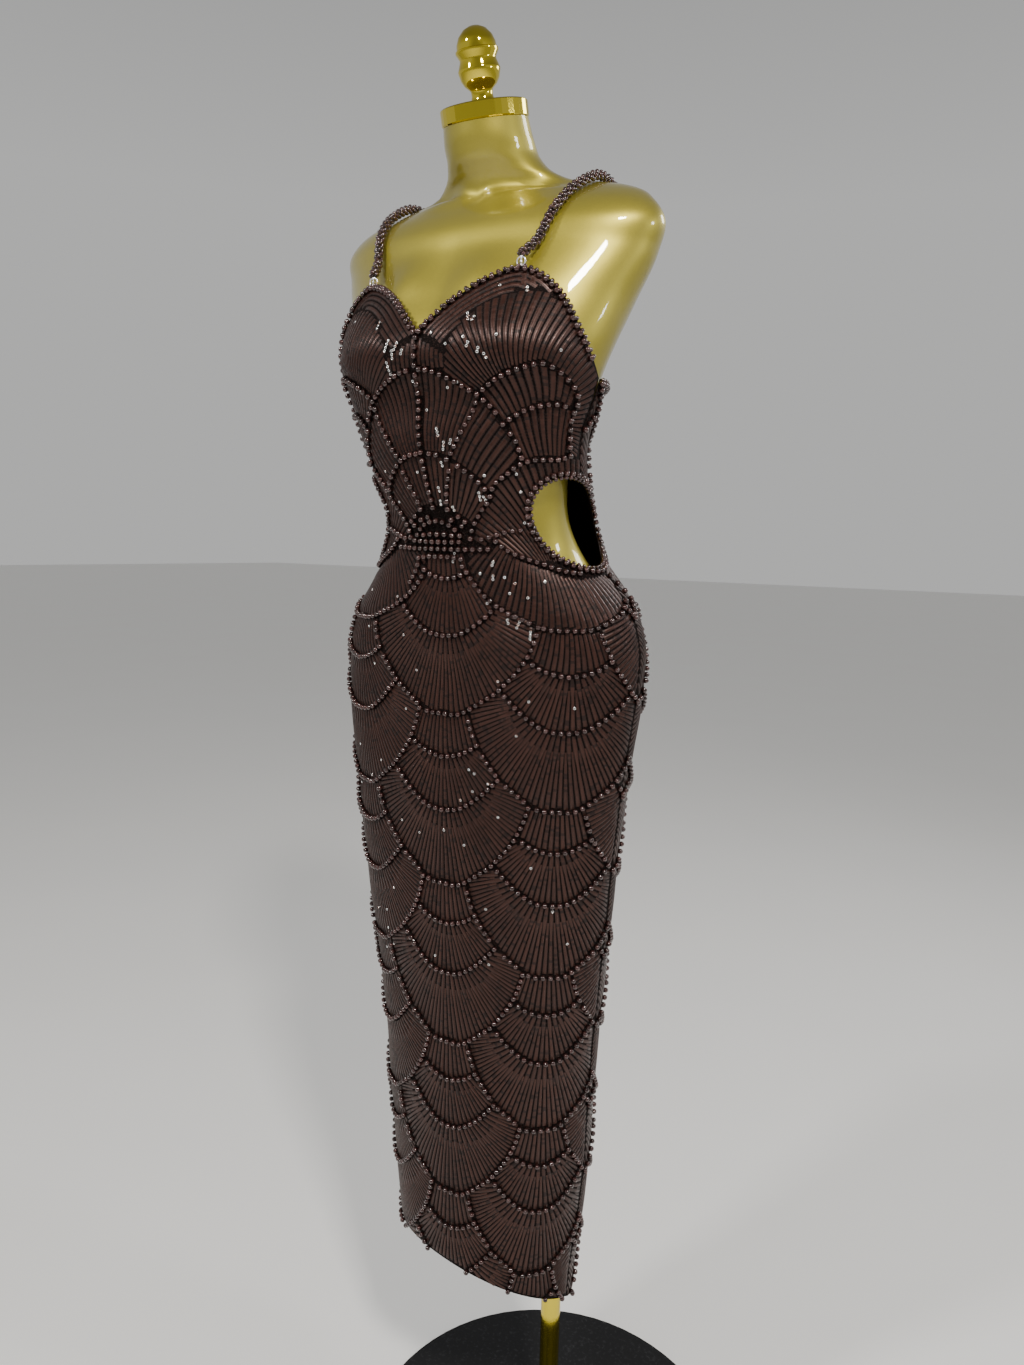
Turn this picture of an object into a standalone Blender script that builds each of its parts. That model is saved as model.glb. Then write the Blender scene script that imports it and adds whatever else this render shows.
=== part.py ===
"""Bodycon maxi dress with rows of pearls sewn as nested fans, worn on a limbless dress form with its stand.

Metres, +Z up. The origin is the centre of the round base's underside. The dress faces -Y, and the wearer's left
is +X. Tables are in millimetres, and their columns are named above them.
"""

import math

import bmesh
import bpy
import numpy as np
from mathutils import Matrix, Vector
from mathutils.bvhtree import BVHTree
from mathutils.geometry import delaunay_2d_cdt

MM = 0.001
GAP = 0.35 * MM

# The body stands a little to the right of the pole and in front of it, because the pole enters the left thigh.
BODY_X, BODY_Y = -65 * MM, -25 * MM

WALL = 2.4 * MM
BEAD_HEIGHT = 5.0 * MM
BEAD_HALF_WIDTH = 4.0 * MM
EDGE_ROW_INSET = 5.5 * MM

# Cross-sections of the cloth's outer face, as half ellipses in front of and behind a widest line.
# height, half_width, front, back, centre_y, centre_x
DRESS_SECTIONS = (
    (220, 106, 93, 87, -16, -1),
    (300, 112, 94, 88, -20, -2),
    (460, 130, 94, 92, -24, -3),
    (620, 140, 93, 96, -32, -3),
    (780, 158, 88, 101, -45, -4),
    (900, 171, 88, 108, -51, -5),
    (980, 180, 88, 115, -53, -5),
    (1050, 186, 92, 120, -50, -4),
    (1090, 184, 97, 117, -49, -2),
    (1120, 174, 100, 111, -47, -1),
    (1150, 154, 101, 103, -46, 0),
    (1180, 132, 100, 96, -48, -1),
    (1220, 122, 95, 91, -57, -1),
    (1260, 123, 88, 92, -80, 0),
    (1300, 130, 82, 91, -96, 0),
    (1340, 144, 80, 89, -97, 0),
    (1380, 157, 90, 90, -95, 0),
    (1410, 163, 93, 90, -86, 0),
    (1440, 169, 93, 90, -77, 0),
    (1500, 184, 84, 87, -68, 0),
)

# Cross-sections of the form, slimmer than the cloth at the waist and the small of the back.
# height, half_width, front, back, centre_y, centre_x
FORM_SECTIONS = (
    (800, 140, 70, 92, -46, -4),
    (900, 158, 80, 98, -51, -5),
    (980, 173, 82, 109, -53, -5),
    (1050, 180, 87, 115, -50, -4),
    (1090, 177, 91, 111, -49, -2),
    (1120, 164, 94, 100, -48, -1),
    (1150, 141, 90, 84, -51, 0),
    (1180, 118, 82, 72, -60, -1),
    (1220, 105, 71, 64, -76, -1),
    (1260, 106, 77, 62, -85, 0),
    (1300, 117, 77, 72, -95, 0),
    (1340, 135, 74, 83, -97, 0),
    (1380, 151, 85, 86, -95, 0),
    (1440, 169, 90, 90, -73, 0),
    (1485, 186, 80, 81, -60, 0),
    (1515, 191, 70, 77, -57, 0),
    (1535, 177, 59, 68, -50, 0),
    (1548, 161, 50, 55, -40, 0),
    (1558, 136, 44, 44, -33, 0),
    (1566, 93, 44, 44, -36, 0),
    (1575, 68, 46, 48, -46, 0),
    (1590, 50, 49, 50, -63, 0),
    (1605, 47, 47, 47, -74, 0),
    (1624, 44.5, 44.5, 44.5, -82, 0),
)
# The neck's sections tilt: height, degrees forward
FORM_LEANS = ((1558, 0), (1566, 1), (1575, 4), (1590, 9), (1605, 13), (1624, 17))
FORM_RING_POINTS = 40
FORM_RING_STEP, FORM_FINE_STEP, FORM_FINE_Z = 42 * MM, 22 * MM, 1360 * MM

# The cups: a soft swelling on each side of the centre line. The cloth spans the dip between them.
CUP_X, CUP_Z = 80 * MM, 1385 * MM
CUP_SPREAD_X, CUP_SPREAD_Z, CUP_BRIDGE = 43 * MM, 34 * MM, 100 * MM
CUP_RISE, FORM_CUP_RISE, FORM_BRIDGE = 20 * MM, 19 * MM, 55 * MM

# The neckline's right half, from the centre of the sweetheart over the cup's peak to the underarm.
# across (along the cloth), height
NECKLINE = (
    (0, 1397), (22, 1419), (46, 1439), (71, 1452.5), (91, 1457), (116, 1448), (137, 1430), (158, 1402), (176, 1376),
)  # fmt: skip
UNDERARM_Z = 1358 * MM
BACK_DIP = 12 * MM

# Side cut-out: an oval that crosses each side seam. Its centre lies ahead of the seam.
CUTOUT_Z, CUTOUT_AHEAD = 1218 * MM, 20 * MM
CUTOUT_HALF_WIDTH, CUTOUT_HALF_HEIGHT = 52 * MM, 45 * MM

# The hem falls towards the back, and a little towards the wearer's left.
HEM_Z, HEM_SLOPE, HEM_LEAN = 305 * MM, 0.49, -0.17

# Fans: columns that stand half a row apart from their neighbours, with three nested arcs in each fan.
COLUMN, ROW = 110 * MM, 190 * MM
FIRST_FAN_TOP = 1205 * MM
FAN_ROWS = 6
LARGE_RADIUS, LARGE_REACH = 112 * MM, 72
MEDIUM_RADIUS, MEDIUM_DROP, MEDIUM_REACH = 108 * MM, 110 * MM, 35
SMALL_RADIUS, SMALL_DROP, SMALL_REACH = 60 * MM, 46 * MM, 25
KEYSTONE_TOP, KEYSTONE_FOOT = (27 * MM, -7 * MM), (33 * MM, -36 * MM)
WAIST_CLEAR = 12 * MM

# Rows of pearls on the bodice, right half. across (along the cloth), height
BODICE_ROWS = {
    "centre_line": ((0, 1356), (0, 1294)),
    "under_bust": ((0, 1367), (25, 1362), (50, 1345), (63, 1330), (78, 1316), (90, 1300), (97, 1284)),
    "centre_rib": ((37, 1345), (30, 1318), (24, 1293)),
    "waist_arch": ((0, 1284), (22, 1281), (38, 1270), (48, 1254)),
    "side_base": ((58, 1257), (68, 1264), (84, 1274), (100, 1279), (126, 1283), (150, 1286)),
    "side_fan": ((62, 1351), (74, 1358), (98, 1367), (122, 1370), (142, 1360), (156, 1342), (159, 1320), (157, 1300)),
    "side_arc": ((94, 1318), (108, 1326), (126, 1331), (146, 1332)),
    "waist_upper": ((0, 1203), (26, 1202), (50, 1206)),
    "waist_lower": ((0, 1190), (30, 1190), (62, 1197), (84, 1187), (106, 1172), (132, 1162), (176, 1158)),
}
ROSETTE_Z = 1206 * MM
ROSETTE_RADII, ROSETTE_FOOT = (20 * MM, 38 * MM), 30

BEAD_STEP, FLANK_CLOSENESS = 32 * MM, 0.7
EDGE_STEP, SEAM_STEP = 17 * MM, 30 * MM
# The grid between the rows. from height, to height, step, columns between the middle and the seam
GRID = ((290, 950, 60, 7), (950, 1150, 40, 8), (1150, 1325, 27, 8), (1325, 1450, 19, 15))
GRID_CLEAR = 8 * MM
SQUASH, MERGE_DISTANCE = np.array([1, 0.5]), 0.25 * MM

STRAP_RADIUS, STRAP_CLEAR, STRAP_LEAD, RING_CLEAR = 5.2 * MM, 0.9 * MM, 14 * MM, 1.5 * MM
STRAP_STEP, SHOULDER_Z, SHOULDER_CLOSENESS = 18 * MM, 1505 * MM, 1.6
STRAP_AIM_Y, STRAP_AIM_Z, STRAP_FAR = -80 * MM, 1440 * MM, 0.2
# The straps slant outwards to the shoulder: degrees up from straight ahead and over it, across
STRAP_SLANT = ((0, 90), (40, 97), (70, 109), (100, 117), (150, 114), (239, 101))
STRAP_PLACES = 240
# A ring's foot lies this much under the neckline's peak, whose tip the panel's even steps cut off.
RING_RADIUS, RING_WIRE, RING_DROP = 4.6 * MM, 0.9 * MM, 0.5 * MM

POLE_RADIUS, POLE_BEVEL, POLE_CLEAR = 12.5 * MM, 1 * MM, 0.5 * MM
BASE_RADIUS, BASE_THICK, BASE_BEVEL = 245 * MM, 6 * MM, 1.5 * MM
SOCKET_RADIUS, SOCKET_HEIGHT, SOCKET_CHAMFER = 15.5 * MM, 26 * MM, 2 * MM
POLE_SIDES, BASE_SIDES = 32, 64

TURN_STEPS = 16
CAP_RADIUS, CAP_HEIGHT, CAP_BEVEL = 45.5 * MM, 16 * MM, 1.2 * MM
# Finial, turned: radius, height above the cap
FINIAL_PROFILE = (
    (0, 70), (6, 69.3), (12, 66.4), (17.4, 60.5), (20, 54), (20.4, 49.4), (21.8, 48.6), (21.9, 46.4), (18.6, 41),
    (18.8, 39), (21.2, 32.4), (21.8, 31), (21.3, 28.6), (19.6, 22.5), (16.4, 17.6), (12.4, 14.4), (11.2, 12.8),
    (10.9, 8.6), (12.2, 3.6), (15.2, 0.5), (15.4, 0), (0, 0),
)  # fmt: skip


# ---------------------------------------------------------------- curves and sections


def table_at(table, height):
    """The table's other columns at each height, on smooth curves through its rows, in metres."""
    rows = np.array(table, float) * MM
    heights = rows[:, 0]
    slopes = np.gradient(rows[:, 1:], heights, axis=0)
    height = np.clip(np.asarray(height, float), heights[0], heights[-1])
    low = np.clip(np.searchsorted(heights, height) - 1, 0, len(heights) - 2)
    step = (heights[low + 1] - heights[low])[..., None]
    t = (height - heights[low])[..., None] / step
    below, above = rows[low, 1:], rows[low + 1, 1:]
    return (
        below * (1 + 2 * t) * (1 - t) ** 2
        + above * t**2 * (3 - 2 * t)
        + step * (slopes[low] * t * (1 - t) ** 2 - slopes[low + 1] * t**2 * (1 - t))
    )


def smooth_row(points, step):
    """Points every step along a smooth curve through a few points in millimetres."""
    points = np.array(points, float) * MM
    along = np.concatenate([[0], np.cumsum(np.hypot(*np.diff(points, axis=0).T))])
    tangents = np.gradient(points, along, axis=0)
    fine = np.linspace(0, along[-1], 12 * len(points))
    low = np.clip(np.searchsorted(along, fine) - 1, 0, len(along) - 2)
    span = (along[low + 1] - along[low])[:, None]
    t = (fine - along[low])[:, None] / span
    curve = (
        points[low] * (1 + 2 * t) * (1 - t) ** 2
        + points[low + 1] * t**2 * (3 - 2 * t)
        + span * (tangents[low] * t * (1 - t) ** 2 - tangents[low + 1] * t**2 * (1 - t))
    )
    return evenly(curve, step)


def evenly(line, step, closeness=1):
    """A polyline cut into equal lengths, as near to step as they come, or shorter ones where closeness is more."""
    lengths = np.linalg.norm(np.diff(line, axis=0), axis=1)
    along = np.concatenate([[0], np.cumsum(lengths * closeness)])
    stops = np.linspace(0, along[-1], max(2, round(along[-1] / step) + 1))
    return np.stack([np.interp(stops, along, column) for column in line.T], axis=1)


def mirrored(line):
    return line * np.array([-1, 1])


def quarter_table(half_width, depth):
    """Angles from the middle of the front (or back) to the side, and the length of cloth from the middle to each."""
    angles = np.linspace(0, math.pi / 2, 41)
    middles = (angles[1:] + angles[:-1]) / 2
    speed = np.hypot(half_width[:, None] * np.cos(middles), depth[:, None] * np.sin(middles))
    lengths = np.concatenate([np.zeros((len(half_width), 1)), np.cumsum(speed * np.diff(angles), axis=1)], axis=1)
    return angles, lengths


def seam_distance(height, facing):
    """Length of cloth from the panel's middle to its side seam. facing is -1 for the front and 1 for the back."""
    half_width, front, back, *_ = table_at(DRESS_SECTIONS, np.atleast_1d(height)).T
    return quarter_table(half_width, front if facing < 0 else back)[1][:, -1]


def cup_rise(x, z, rise, bridge):
    """How far the cups push a face forward. Towards the centre line they fade over the bridge's width."""
    across = np.abs(x) - CUP_X
    across = across / np.where(across < 0, bridge, CUP_SPREAD_X)
    up = (z - CUP_Z) / CUP_SPREAD_Z
    return rise * np.exp(-(across**2 + up**2) / 2)


def dress_surface(across, height, facing):
    """The cloth's outer face at these places along and up a panel."""
    half_width, front, back, centre_y, centre_x = table_at(DRESS_SECTIONS, height).T
    depth = front if facing < 0 else back
    angles, lengths = quarter_table(half_width, depth)
    angle = np.array([np.interp(a, row, angles) for a, row in zip(np.abs(across), lengths)])
    x = np.sign(across) * half_width * np.sin(angle)
    y = centre_y + facing * depth * np.cos(angle)
    if facing < 0:
        y = y - cup_rise(x, height, CUP_RISE, CUP_BRIDGE)
    return np.stack([BODY_X + centre_x + x, BODY_Y + y, height], axis=1)


def dress_normals(across, height, facing):
    """Unit normals of the cloth, outwards, from its slopes."""
    small = 1 * MM
    inner = np.sign(across) * np.minimum(np.abs(across), seam_distance(height, facing) - 1.5 * small)
    right = dress_surface(inner + small, height, facing) - dress_surface(inner - small, height, facing)
    up = dress_surface(inner, height + small, facing) - dress_surface(inner, height - small, facing)
    normals = np.cross(right, up) * -facing
    return normals / np.linalg.norm(normals, axis=1)[:, None]


# ---------------------------------------------------------------- panel outlines


def hem_height(across, facing):
    """Height of the hem at these places along a panel."""
    half_width, front, back, *_ = table_at(DRESS_SECTIONS, np.full(len(across), HEM_Z)).T
    depth = front if facing < 0 else back
    angles, lengths = quarter_table(half_width, depth)
    angle = np.array([np.interp(a, row, angles) for a, row in zip(np.abs(across), lengths)])
    return HEM_Z - facing * HEM_SLOPE * depth * np.cos(angle)


def cutout_line(facing, grow=0.0):
    """The cut-out's edge on one panel, top to bottom, as distance in from the seam and height."""
    wide, high = CUTOUT_HALF_WIDTH + grow, CUTOUT_HALF_HEIGHT + grow
    crossing = math.acos(-CUTOUT_AHEAD / wide)
    turn = np.linspace(crossing, -crossing if facing < 0 else 2 * math.pi - crossing, 90)
    inset = -facing * (CUTOUT_AHEAD + wide * np.cos(turn))
    return np.stack([inset, CUTOUT_Z + high * np.sin(turn)], axis=1)


def from_seam(line, facing):
    """Places given as distance in from the seam and height, as places along and up the panel."""
    return np.stack([seam_distance(line[:, 1], facing) - GAP / 2 - line[:, 0], line[:, 1]], axis=1)


def back_top(across, reach):
    """Height of the back panel's top edge, which dips in the middle."""
    return UNDERARM_Z - BACK_DIP * (1 - (across / reach) ** 2) ** 2


def half_edge(facing):
    """The right half of a panel's edge, from the middle of its top to its seam's foot, and the hem's half."""
    reach = seam_distance(UNDERARM_Z, facing)[0] - GAP / 2
    if facing < 0:
        top = np.concatenate([smooth_row(NECKLINE, EDGE_STEP), [[reach, UNDERARM_Z]]])
    else:
        across = np.linspace(0, reach, round(reach / EDGE_STEP) + 1)
        top = np.stack([across, back_top(across, reach)], axis=1)
    notch = evenly(cutout_line(facing), EDGE_STEP)
    notch_top, notch_foot = notch[0, 1], notch[-1, 1]
    upper = np.linspace(UNDERARM_Z, notch_top, round((UNDERARM_Z - notch_top) / EDGE_STEP) + 1)
    lower = np.linspace(notch_foot, HEM_Z, round((notch_foot - HEM_Z) / SEAM_STEP) + 1)
    side = [np.stack([np.zeros(len(heights)), heights], axis=1) for heights in (upper[1:], lower)]
    side = from_seam(np.concatenate([side[0], notch[1:-1], side[1]]), facing)
    across = np.linspace(side[-1, 0], 0, round(side[-1, 0] / EDGE_STEP) + 1)
    hem = np.stack([across, hem_height(across, facing)], axis=1)
    return np.concatenate([top, side[:-1]]), hem


def whole_outline(facing):
    """A panel's whole edge, whose hem leans to one side."""
    edge, hem = half_edge(facing)
    hem = np.concatenate([hem, mirrored(hem[:-1])[::-1]])
    hem[:, 1] += HEM_LEAN * (dress_surface(*hem.T, facing)[:, 0] - BODY_X)
    ends = [0, -1]
    hem[ends, 0] = (seam_distance(hem[ends, 1], facing) - GAP / 2) * [1, -1]
    return np.concatenate([edge, hem, mirrored(edge[1:])[::-1]])


def inside(points, outline):
    """Whether each point lies inside a closed outline."""
    x, y = points[:, 0][:, None], points[:, 1][:, None]
    ax, ay = outline.T
    bx, by = np.roll(outline, -1, axis=0).T
    crosses = (ay > y) != (by > y)
    run = np.where(by == ay, 1, by - ay)
    return (crosses & (x < ax + (y - ay) * (bx - ax) / run)).sum(axis=1) % 2 == 1


def distance_to(points, starts, ends):
    """Distance from each point to the nearest of some straight stretches."""
    nearest = np.full(len(points), np.inf)
    for start, end in zip(starts, ends):
        along = end - start
        share = np.clip((points - start) @ along / max(along @ along, 1e-12), 0, 1)
        gap = np.linalg.norm(points - start - share[:, None] * along, axis=1)
        nearest = np.minimum(nearest, gap)
    return nearest


# ---------------------------------------------------------------- rows of pearls


def scallop(centre, bottom, radius, reach):
    """An arc whose lowest point is at the bottom, reaching so many degrees to each side."""
    turn = np.radians(np.linspace(-reach, reach, 81))
    return np.stack([centre + radius * np.sin(turn), bottom + radius * (1 - np.cos(turn))], axis=1)


def fan(centre, top):
    """The rows of pearls of one fan: large, medium and small arc, and the small arc's two sides."""
    rows = [
        scallop(centre, top - ROW, LARGE_RADIUS, LARGE_REACH),
        scallop(centre, top - MEDIUM_DROP, MEDIUM_RADIUS, MEDIUM_REACH),
        scallop(centre, top - SMALL_DROP, SMALL_RADIUS, SMALL_REACH),
    ]
    for side in (-1, 1):
        ends = [(centre + side * across, top + drop) for across, drop in (KEYSTONE_TOP, KEYSTONE_FOOT)]
        rows.append(np.linspace(*ends, 20))
    return rows


def skirt_rows(facing):
    """All fans of a panel. Odd columns stand half a row lower than even ones."""
    rows = []
    for column in range(-2, 3):
        centre = column * COLUMN
        top = FIRST_FAN_TOP - (ROW / 2 if column % 2 else 0)
        if facing < 0 and column % 2:
            rows.append(scallop(centre, top, LARGE_RADIUS, LARGE_REACH))
        for number in range(0 if facing < 0 else -1, FAN_ROWS):
            rows += fan(centre, top - number * ROW)
    if facing < 0:
        waist = np.array(BODICE_ROWS["waist_lower"]).T * MM
        rows = [row[row[:, 1] < np.interp(np.abs(row[:, 0]), *waist) - WAIST_CLEAR] for row in rows]
    return [row for row in rows if len(row) > 1]


def bodice_rows():
    rows = []
    for points in BODICE_ROWS.values():
        half = smooth_row(points, 4 * MM)
        if points[-1][0] == 0:
            rows.append(half)
        elif points[0][0] == 0:
            rows.append(np.concatenate([mirrored(half[1:])[::-1], half]))
        else:
            rows += [half, mirrored(half)]
    for radius in ROSETTE_RADII:
        turn = np.radians(np.linspace(ROSETTE_FOOT, 180 - ROSETTE_FOOT, 40))
        rows.append(np.stack([radius * np.cos(turn), ROSETTE_Z + radius * np.sin(turn)], axis=1))
    return rows


def edge_rows(facing):
    """Rows that follow the neckline, or the back's top edge, and the cut-outs."""
    if facing < 0:
        line = smooth_row(NECKLINE, EDGE_STEP / 3)
        heading = np.gradient(line, axis=0)
        heading /= np.linalg.norm(heading, axis=1)[:, None]
        half = line + EDGE_ROW_INSET * np.stack([heading[:, 1], -heading[:, 0]], axis=1)
        half = half[half[:, 0] > 0]
        top = np.concatenate([mirrored(half)[::-1], half])
    else:
        reach = seam_distance(UNDERARM_Z, facing)[0]
        across = np.linspace(-reach, reach, 60)
        top = np.stack([across, back_top(across, reach) - EDGE_ROW_INSET], axis=1)
    ring = from_seam(cutout_line(facing, EDGE_ROW_INSET), facing)
    return [top, ring, mirrored(ring)]


def kept_stretches(rows, outline, facing):
    """The stretches of the rows that keep clear of the panel's edge, cut to even steps."""
    starts, ends = outline, np.roll(outline, -1, axis=0)
    stretches = []
    for row in rows:
        fine = evenly(row, 2 * MM)
        keep = inside(fine, outline) & (distance_to(fine, starts, ends) > BEAD_HALF_WIDTH + GAP)
        edges = np.flatnonzero(np.diff(np.concatenate([[0], keep.astype(int), [0]])))
        for start, end in zip(edges[::2], edges[1::2]):
            if end - start > BEAD_STEP / 2 / (2 * MM):
                kept = fine[start:end]
                flank = (kept[1:, 0] / seam_distance(kept[1:, 1], facing)) ** 2
                stretches.append(evenly(kept, BEAD_STEP, 1 + FLANK_CLOSENESS * flank))
    return stretches


def ridge_lines(stretch):
    """A stretch's crest, which runs on to its foot at each end, and its two feet."""
    heading = np.gradient(stretch, axis=0)
    heading /= np.linalg.norm(heading, axis=1)[:, None]
    sideways = BEAD_HALF_WIDTH * np.stack([heading[:, 1], -heading[:, 0]], axis=1)
    tip = BEAD_HALF_WIDTH * heading
    crest = np.concatenate([[stretch[0] - tip[0]], stretch, [stretch[-1] + tip[-1]]])
    return crest, stretch + sideways, stretch - sideways


# ---------------------------------------------------------------- panels


def triangulate(points, edges, outline_count):
    """Triangles inside the outline, which is the first points in order, longer up the panel than across it."""
    squashed = (points * SQUASH).tolist()
    result = delaunay_2d_cdt(squashed, edges, [list(range(outline_count))], 1, MERGE_DISTANCE)
    places, _, faces, origins = result[:4]
    return np.array([tuple(place) for place in places]) / SQUASH, faces, origins


def boundary_loop(faces):
    """The outer edge of some triangles, as vertex numbers in order."""
    following = {}
    for face in faces:
        for start, end in zip(face, face[1:] + face[:1]):
            following[start, end] = True
    onward = {start: end for start, end in following if (end, start) not in following}
    loop = [next(iter(onward))]
    while onward[loop[-1]] != loop[0]:
        loop.append(onward[loop[-1]])
    return loop


def filling_points(outline, starts, ends, facing):
    """A grid that keeps the wall close to its curve between the rows."""
    grid = []
    for floor, ceiling, step, columns in GRID:
        for height in np.arange(floor, ceiling, step) * MM:
            half_width, front, back, *_ = table_at(DRESS_SECTIONS, [height]).T
            angles, lengths = quarter_table(half_width, front if facing < 0 else back)
            turns = np.arange(1 - columns, columns) / columns * math.pi / 2
            grid += [(np.sign(turn) * np.interp(abs(turn), angles, lengths[0]), height) for turn in turns]
    grid = np.array(grid)
    grid = grid[inside(grid, outline)]
    return grid[distance_to(grid, starts, ends) > GRID_CLEAR]


def panel_mesh(facing):
    outline = whole_outline(facing)
    outline_ends = np.roll(outline, -1, axis=0)
    rows = edge_rows(facing) + skirt_rows(facing)
    if facing < 0:
        rows = rows + bodice_rows()
    stretches = kept_stretches(rows, outline, facing)
    points, edges = [outline], []
    count = len(outline)
    for stretch in stretches:
        for line in ridge_lines(stretch):
            points.append(line)
            edges += [(count + i, count + i + 1) for i in range(len(line) - 1)]
            count += len(line)
    starts = np.concatenate([stretch[:-1] for stretch in stretches])
    ends = np.concatenate([stretch[1:] for stretch in stretches])
    lines = np.concatenate([starts, outline]), np.concatenate([ends, outline_ends])
    fill = filling_points(outline, *lines, facing)
    places, faces, _ = triangulate(np.concatenate(points + [fill]), edges, len(outline))
    rise = BEAD_HEIGHT * np.clip(1 - distance_to(places, starts, ends) / BEAD_HALF_WIDTH, 0, 1)
    normals = dress_normals(*places.T, facing)
    outer = dress_surface(*places.T, facing) + rise[:, None] * normals

    loop = boundary_loop(faces)
    rim = places[loop]
    fill = filling_points(rim, rim, np.roll(rim, -1, axis=0), facing)
    inner_places, inner_faces, origins = triangulate(np.concatenate([rim, fill]), [], len(rim))
    inner = dress_surface(*inner_places.T, facing) - WALL * dress_normals(*inner_places.T, facing)
    number_of = {source: number for number, sources in enumerate(origins) for source in sources}
    inner_loop = [len(outer) + number_of[i] for i in range(len(rim))]

    mesh = bmesh.new()
    corners = [mesh.verts.new(place) for place in np.concatenate([outer, inner])]
    for face in faces:
        mesh.faces.new([corners[i] for i in face])
    for face in inner_faces:
        mesh.faces.new([corners[len(outer) + i] for i in reversed(face)])
    for i, start in enumerate(loop):
        after = (i + 1) % len(loop)
        quad = (loop[after], start, inner_loop[i], inner_loop[after])
        mesh.faces.new([corners[j] for j in quad])
    bmesh.ops.recalc_face_normals(mesh, faces=mesh.faces)
    return mesh


# ---------------------------------------------------------------- form and stand


def form_ring(height):
    """One section of the form, tilted forward by its lean."""
    half_width, front, back, centre_y, centre_x = table_at(FORM_SECTIONS, height)
    lean = math.radians(np.interp(height / MM, *zip(*FORM_LEANS)))
    turn = np.linspace(0, 2 * math.pi, FORM_RING_POINTS, endpoint=False)
    x = half_width * np.cos(turn)
    across = np.where(np.sin(turn) < 0, front, back) * np.sin(turn)
    y = centre_y + across * math.cos(lean)
    z = height + across * math.sin(lean)
    y = y - cup_rise(x, z, FORM_CUP_RISE, FORM_BRIDGE) * np.clip(-np.sin(turn), 0, 1)
    return np.stack([BODY_X + centre_x + x, BODY_Y + y, z], axis=1)


def form_heights():
    """Heights of the form's rings: every row of its table, and more between rows that stand far apart."""
    rows = [row[0] * MM for row in FORM_SECTIONS]
    heights = []
    for low, high in zip(rows, rows[1:]):
        step = FORM_RING_STEP if low < FORM_FINE_Z else FORM_FINE_STEP
        heights += list(np.linspace(low, high, math.ceil((high - low) / step), endpoint=False))
    return heights + [rows[-1]]


def torso_mesh():
    rings = [form_ring(height) for height in form_heights()]
    mesh = bmesh.new()
    rows = [[mesh.verts.new(place) for place in ring] for ring in rings]
    for below, above in zip(rows, rows[1:]):
        for i in range(FORM_RING_POINTS):
            after = (i + 1) % FORM_RING_POINTS
            mesh.faces.new((below[i], below[after], above[after], above[i]))
    mesh.faces.new(rows[0][::-1])
    mesh.faces.new(rows[-1])
    return mesh


def neck_frame():
    """Placement of what stands on the neck: its top's centre and lean."""
    height, *_, centre_y, centre_x = FORM_SECTIONS[-1]
    lean = FORM_LEANS[-1][1]
    place = Matrix.Translation((BODY_X + centre_x * MM, BODY_Y + centre_y * MM, height * MM))
    return place @ Matrix.Rotation(math.radians(lean), 4, "X")


def strap_line(torso, start):
    """The left strap's centre line from the ring's top, at an even distance over the form to the back edge."""
    tree = BVHTree.FromBMesh(torso)
    slant = np.array(STRAP_SLANT, float)
    line = []
    for turn in np.linspace(slant[0, 0], slant[-1, 0], STRAP_PLACES):
        out = Vector((0, -math.cos(math.radians(turn)), math.sin(math.radians(turn))))
        place = Vector((BODY_X + np.interp(turn, *slant.T) * MM, BODY_Y + STRAP_AIM_Y, STRAP_AIM_Z))
        place += out * STRAP_FAR
        for _ in range(40):
            place -= out * (tree.find_nearest(place)[3] - STRAP_RADIUS - STRAP_CLEAR)
        line.append(tuple(place))
    line = np.array(line)
    behind = np.arange(len(line)) > np.argmax(line[:, 2])
    line = np.concatenate([[start], line[behind | (line[:, 2] > start[2] + STRAP_LEAD)]])
    shoulder = np.where(line[1:, 2] > SHOULDER_Z, SHOULDER_CLOSENESS, 1)
    return evenly(line, STRAP_STEP, shoulder)


# ---------------------------------------------------------------- objects


def clear_scene():
    for thing in list(bpy.data.objects):
        bpy.data.objects.remove(thing, do_unlink=True)


def material(name, colour, roughness, metallic):
    made = bpy.data.materials.new(name)
    made.use_nodes = True
    shader = made.node_tree.nodes["Principled BSDF"]
    shader.inputs["Base Color"].default_value = (*colour, 1)
    shader.inputs["Roughness"].default_value = roughness
    shader.inputs["Metallic"].default_value = metallic
    return made


def add_object(name, mesh, finish, collection):
    """An object from a bmesh, shaded smooth but for its sharp edges."""
    data = bpy.data.meshes.new(name)
    mesh.to_mesh(data)
    mesh.free()
    data.shade_smooth()
    data.set_sharp_from_angle(angle=math.radians(40))
    data.materials.append(finish)
    thing = bpy.data.objects.new(name, data)
    collection.objects.link(thing)
    return thing


def add_disc(name, radius, height, bevel, segments, finish, collection):
    """A round plate that stands on its own origin, with chamfered rims."""
    mesh = bmesh.new()
    bmesh.ops.create_cone(
        mesh, cap_ends=True, segments=segments, radius1=radius, radius2=radius, depth=height,
        matrix=Matrix.Translation((0, 0, height / 2)),
    )  # fmt: skip
    thing = add_object(name, mesh, finish, collection)
    modifier = thing.modifiers.new("rims", "BEVEL")
    modifier.width = bevel
    modifier.segments = 1
    modifier.limit_method = "ANGLE"
    modifier.angle_limit = math.radians(60)
    return thing


def add_turned(name, profile, closed, finish, collection):
    """A turned piece on its own origin. Its profile runs downwards on the outer side."""
    mesh = bmesh.new()
    points = [mesh.verts.new((radius, 0, height)) for radius, height in profile]
    for start, end in zip(points, points[1:] + points[:closed]):
        mesh.edges.new((start, end))
    thing = add_object(name, mesh, finish, collection)
    screw = thing.modifiers.new("turn", "SCREW")
    screw.steps = screw.render_steps = TURN_STEPS
    screw.use_merge_vertices = True
    screw.merge_threshold = 0.0001
    return thing


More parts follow.
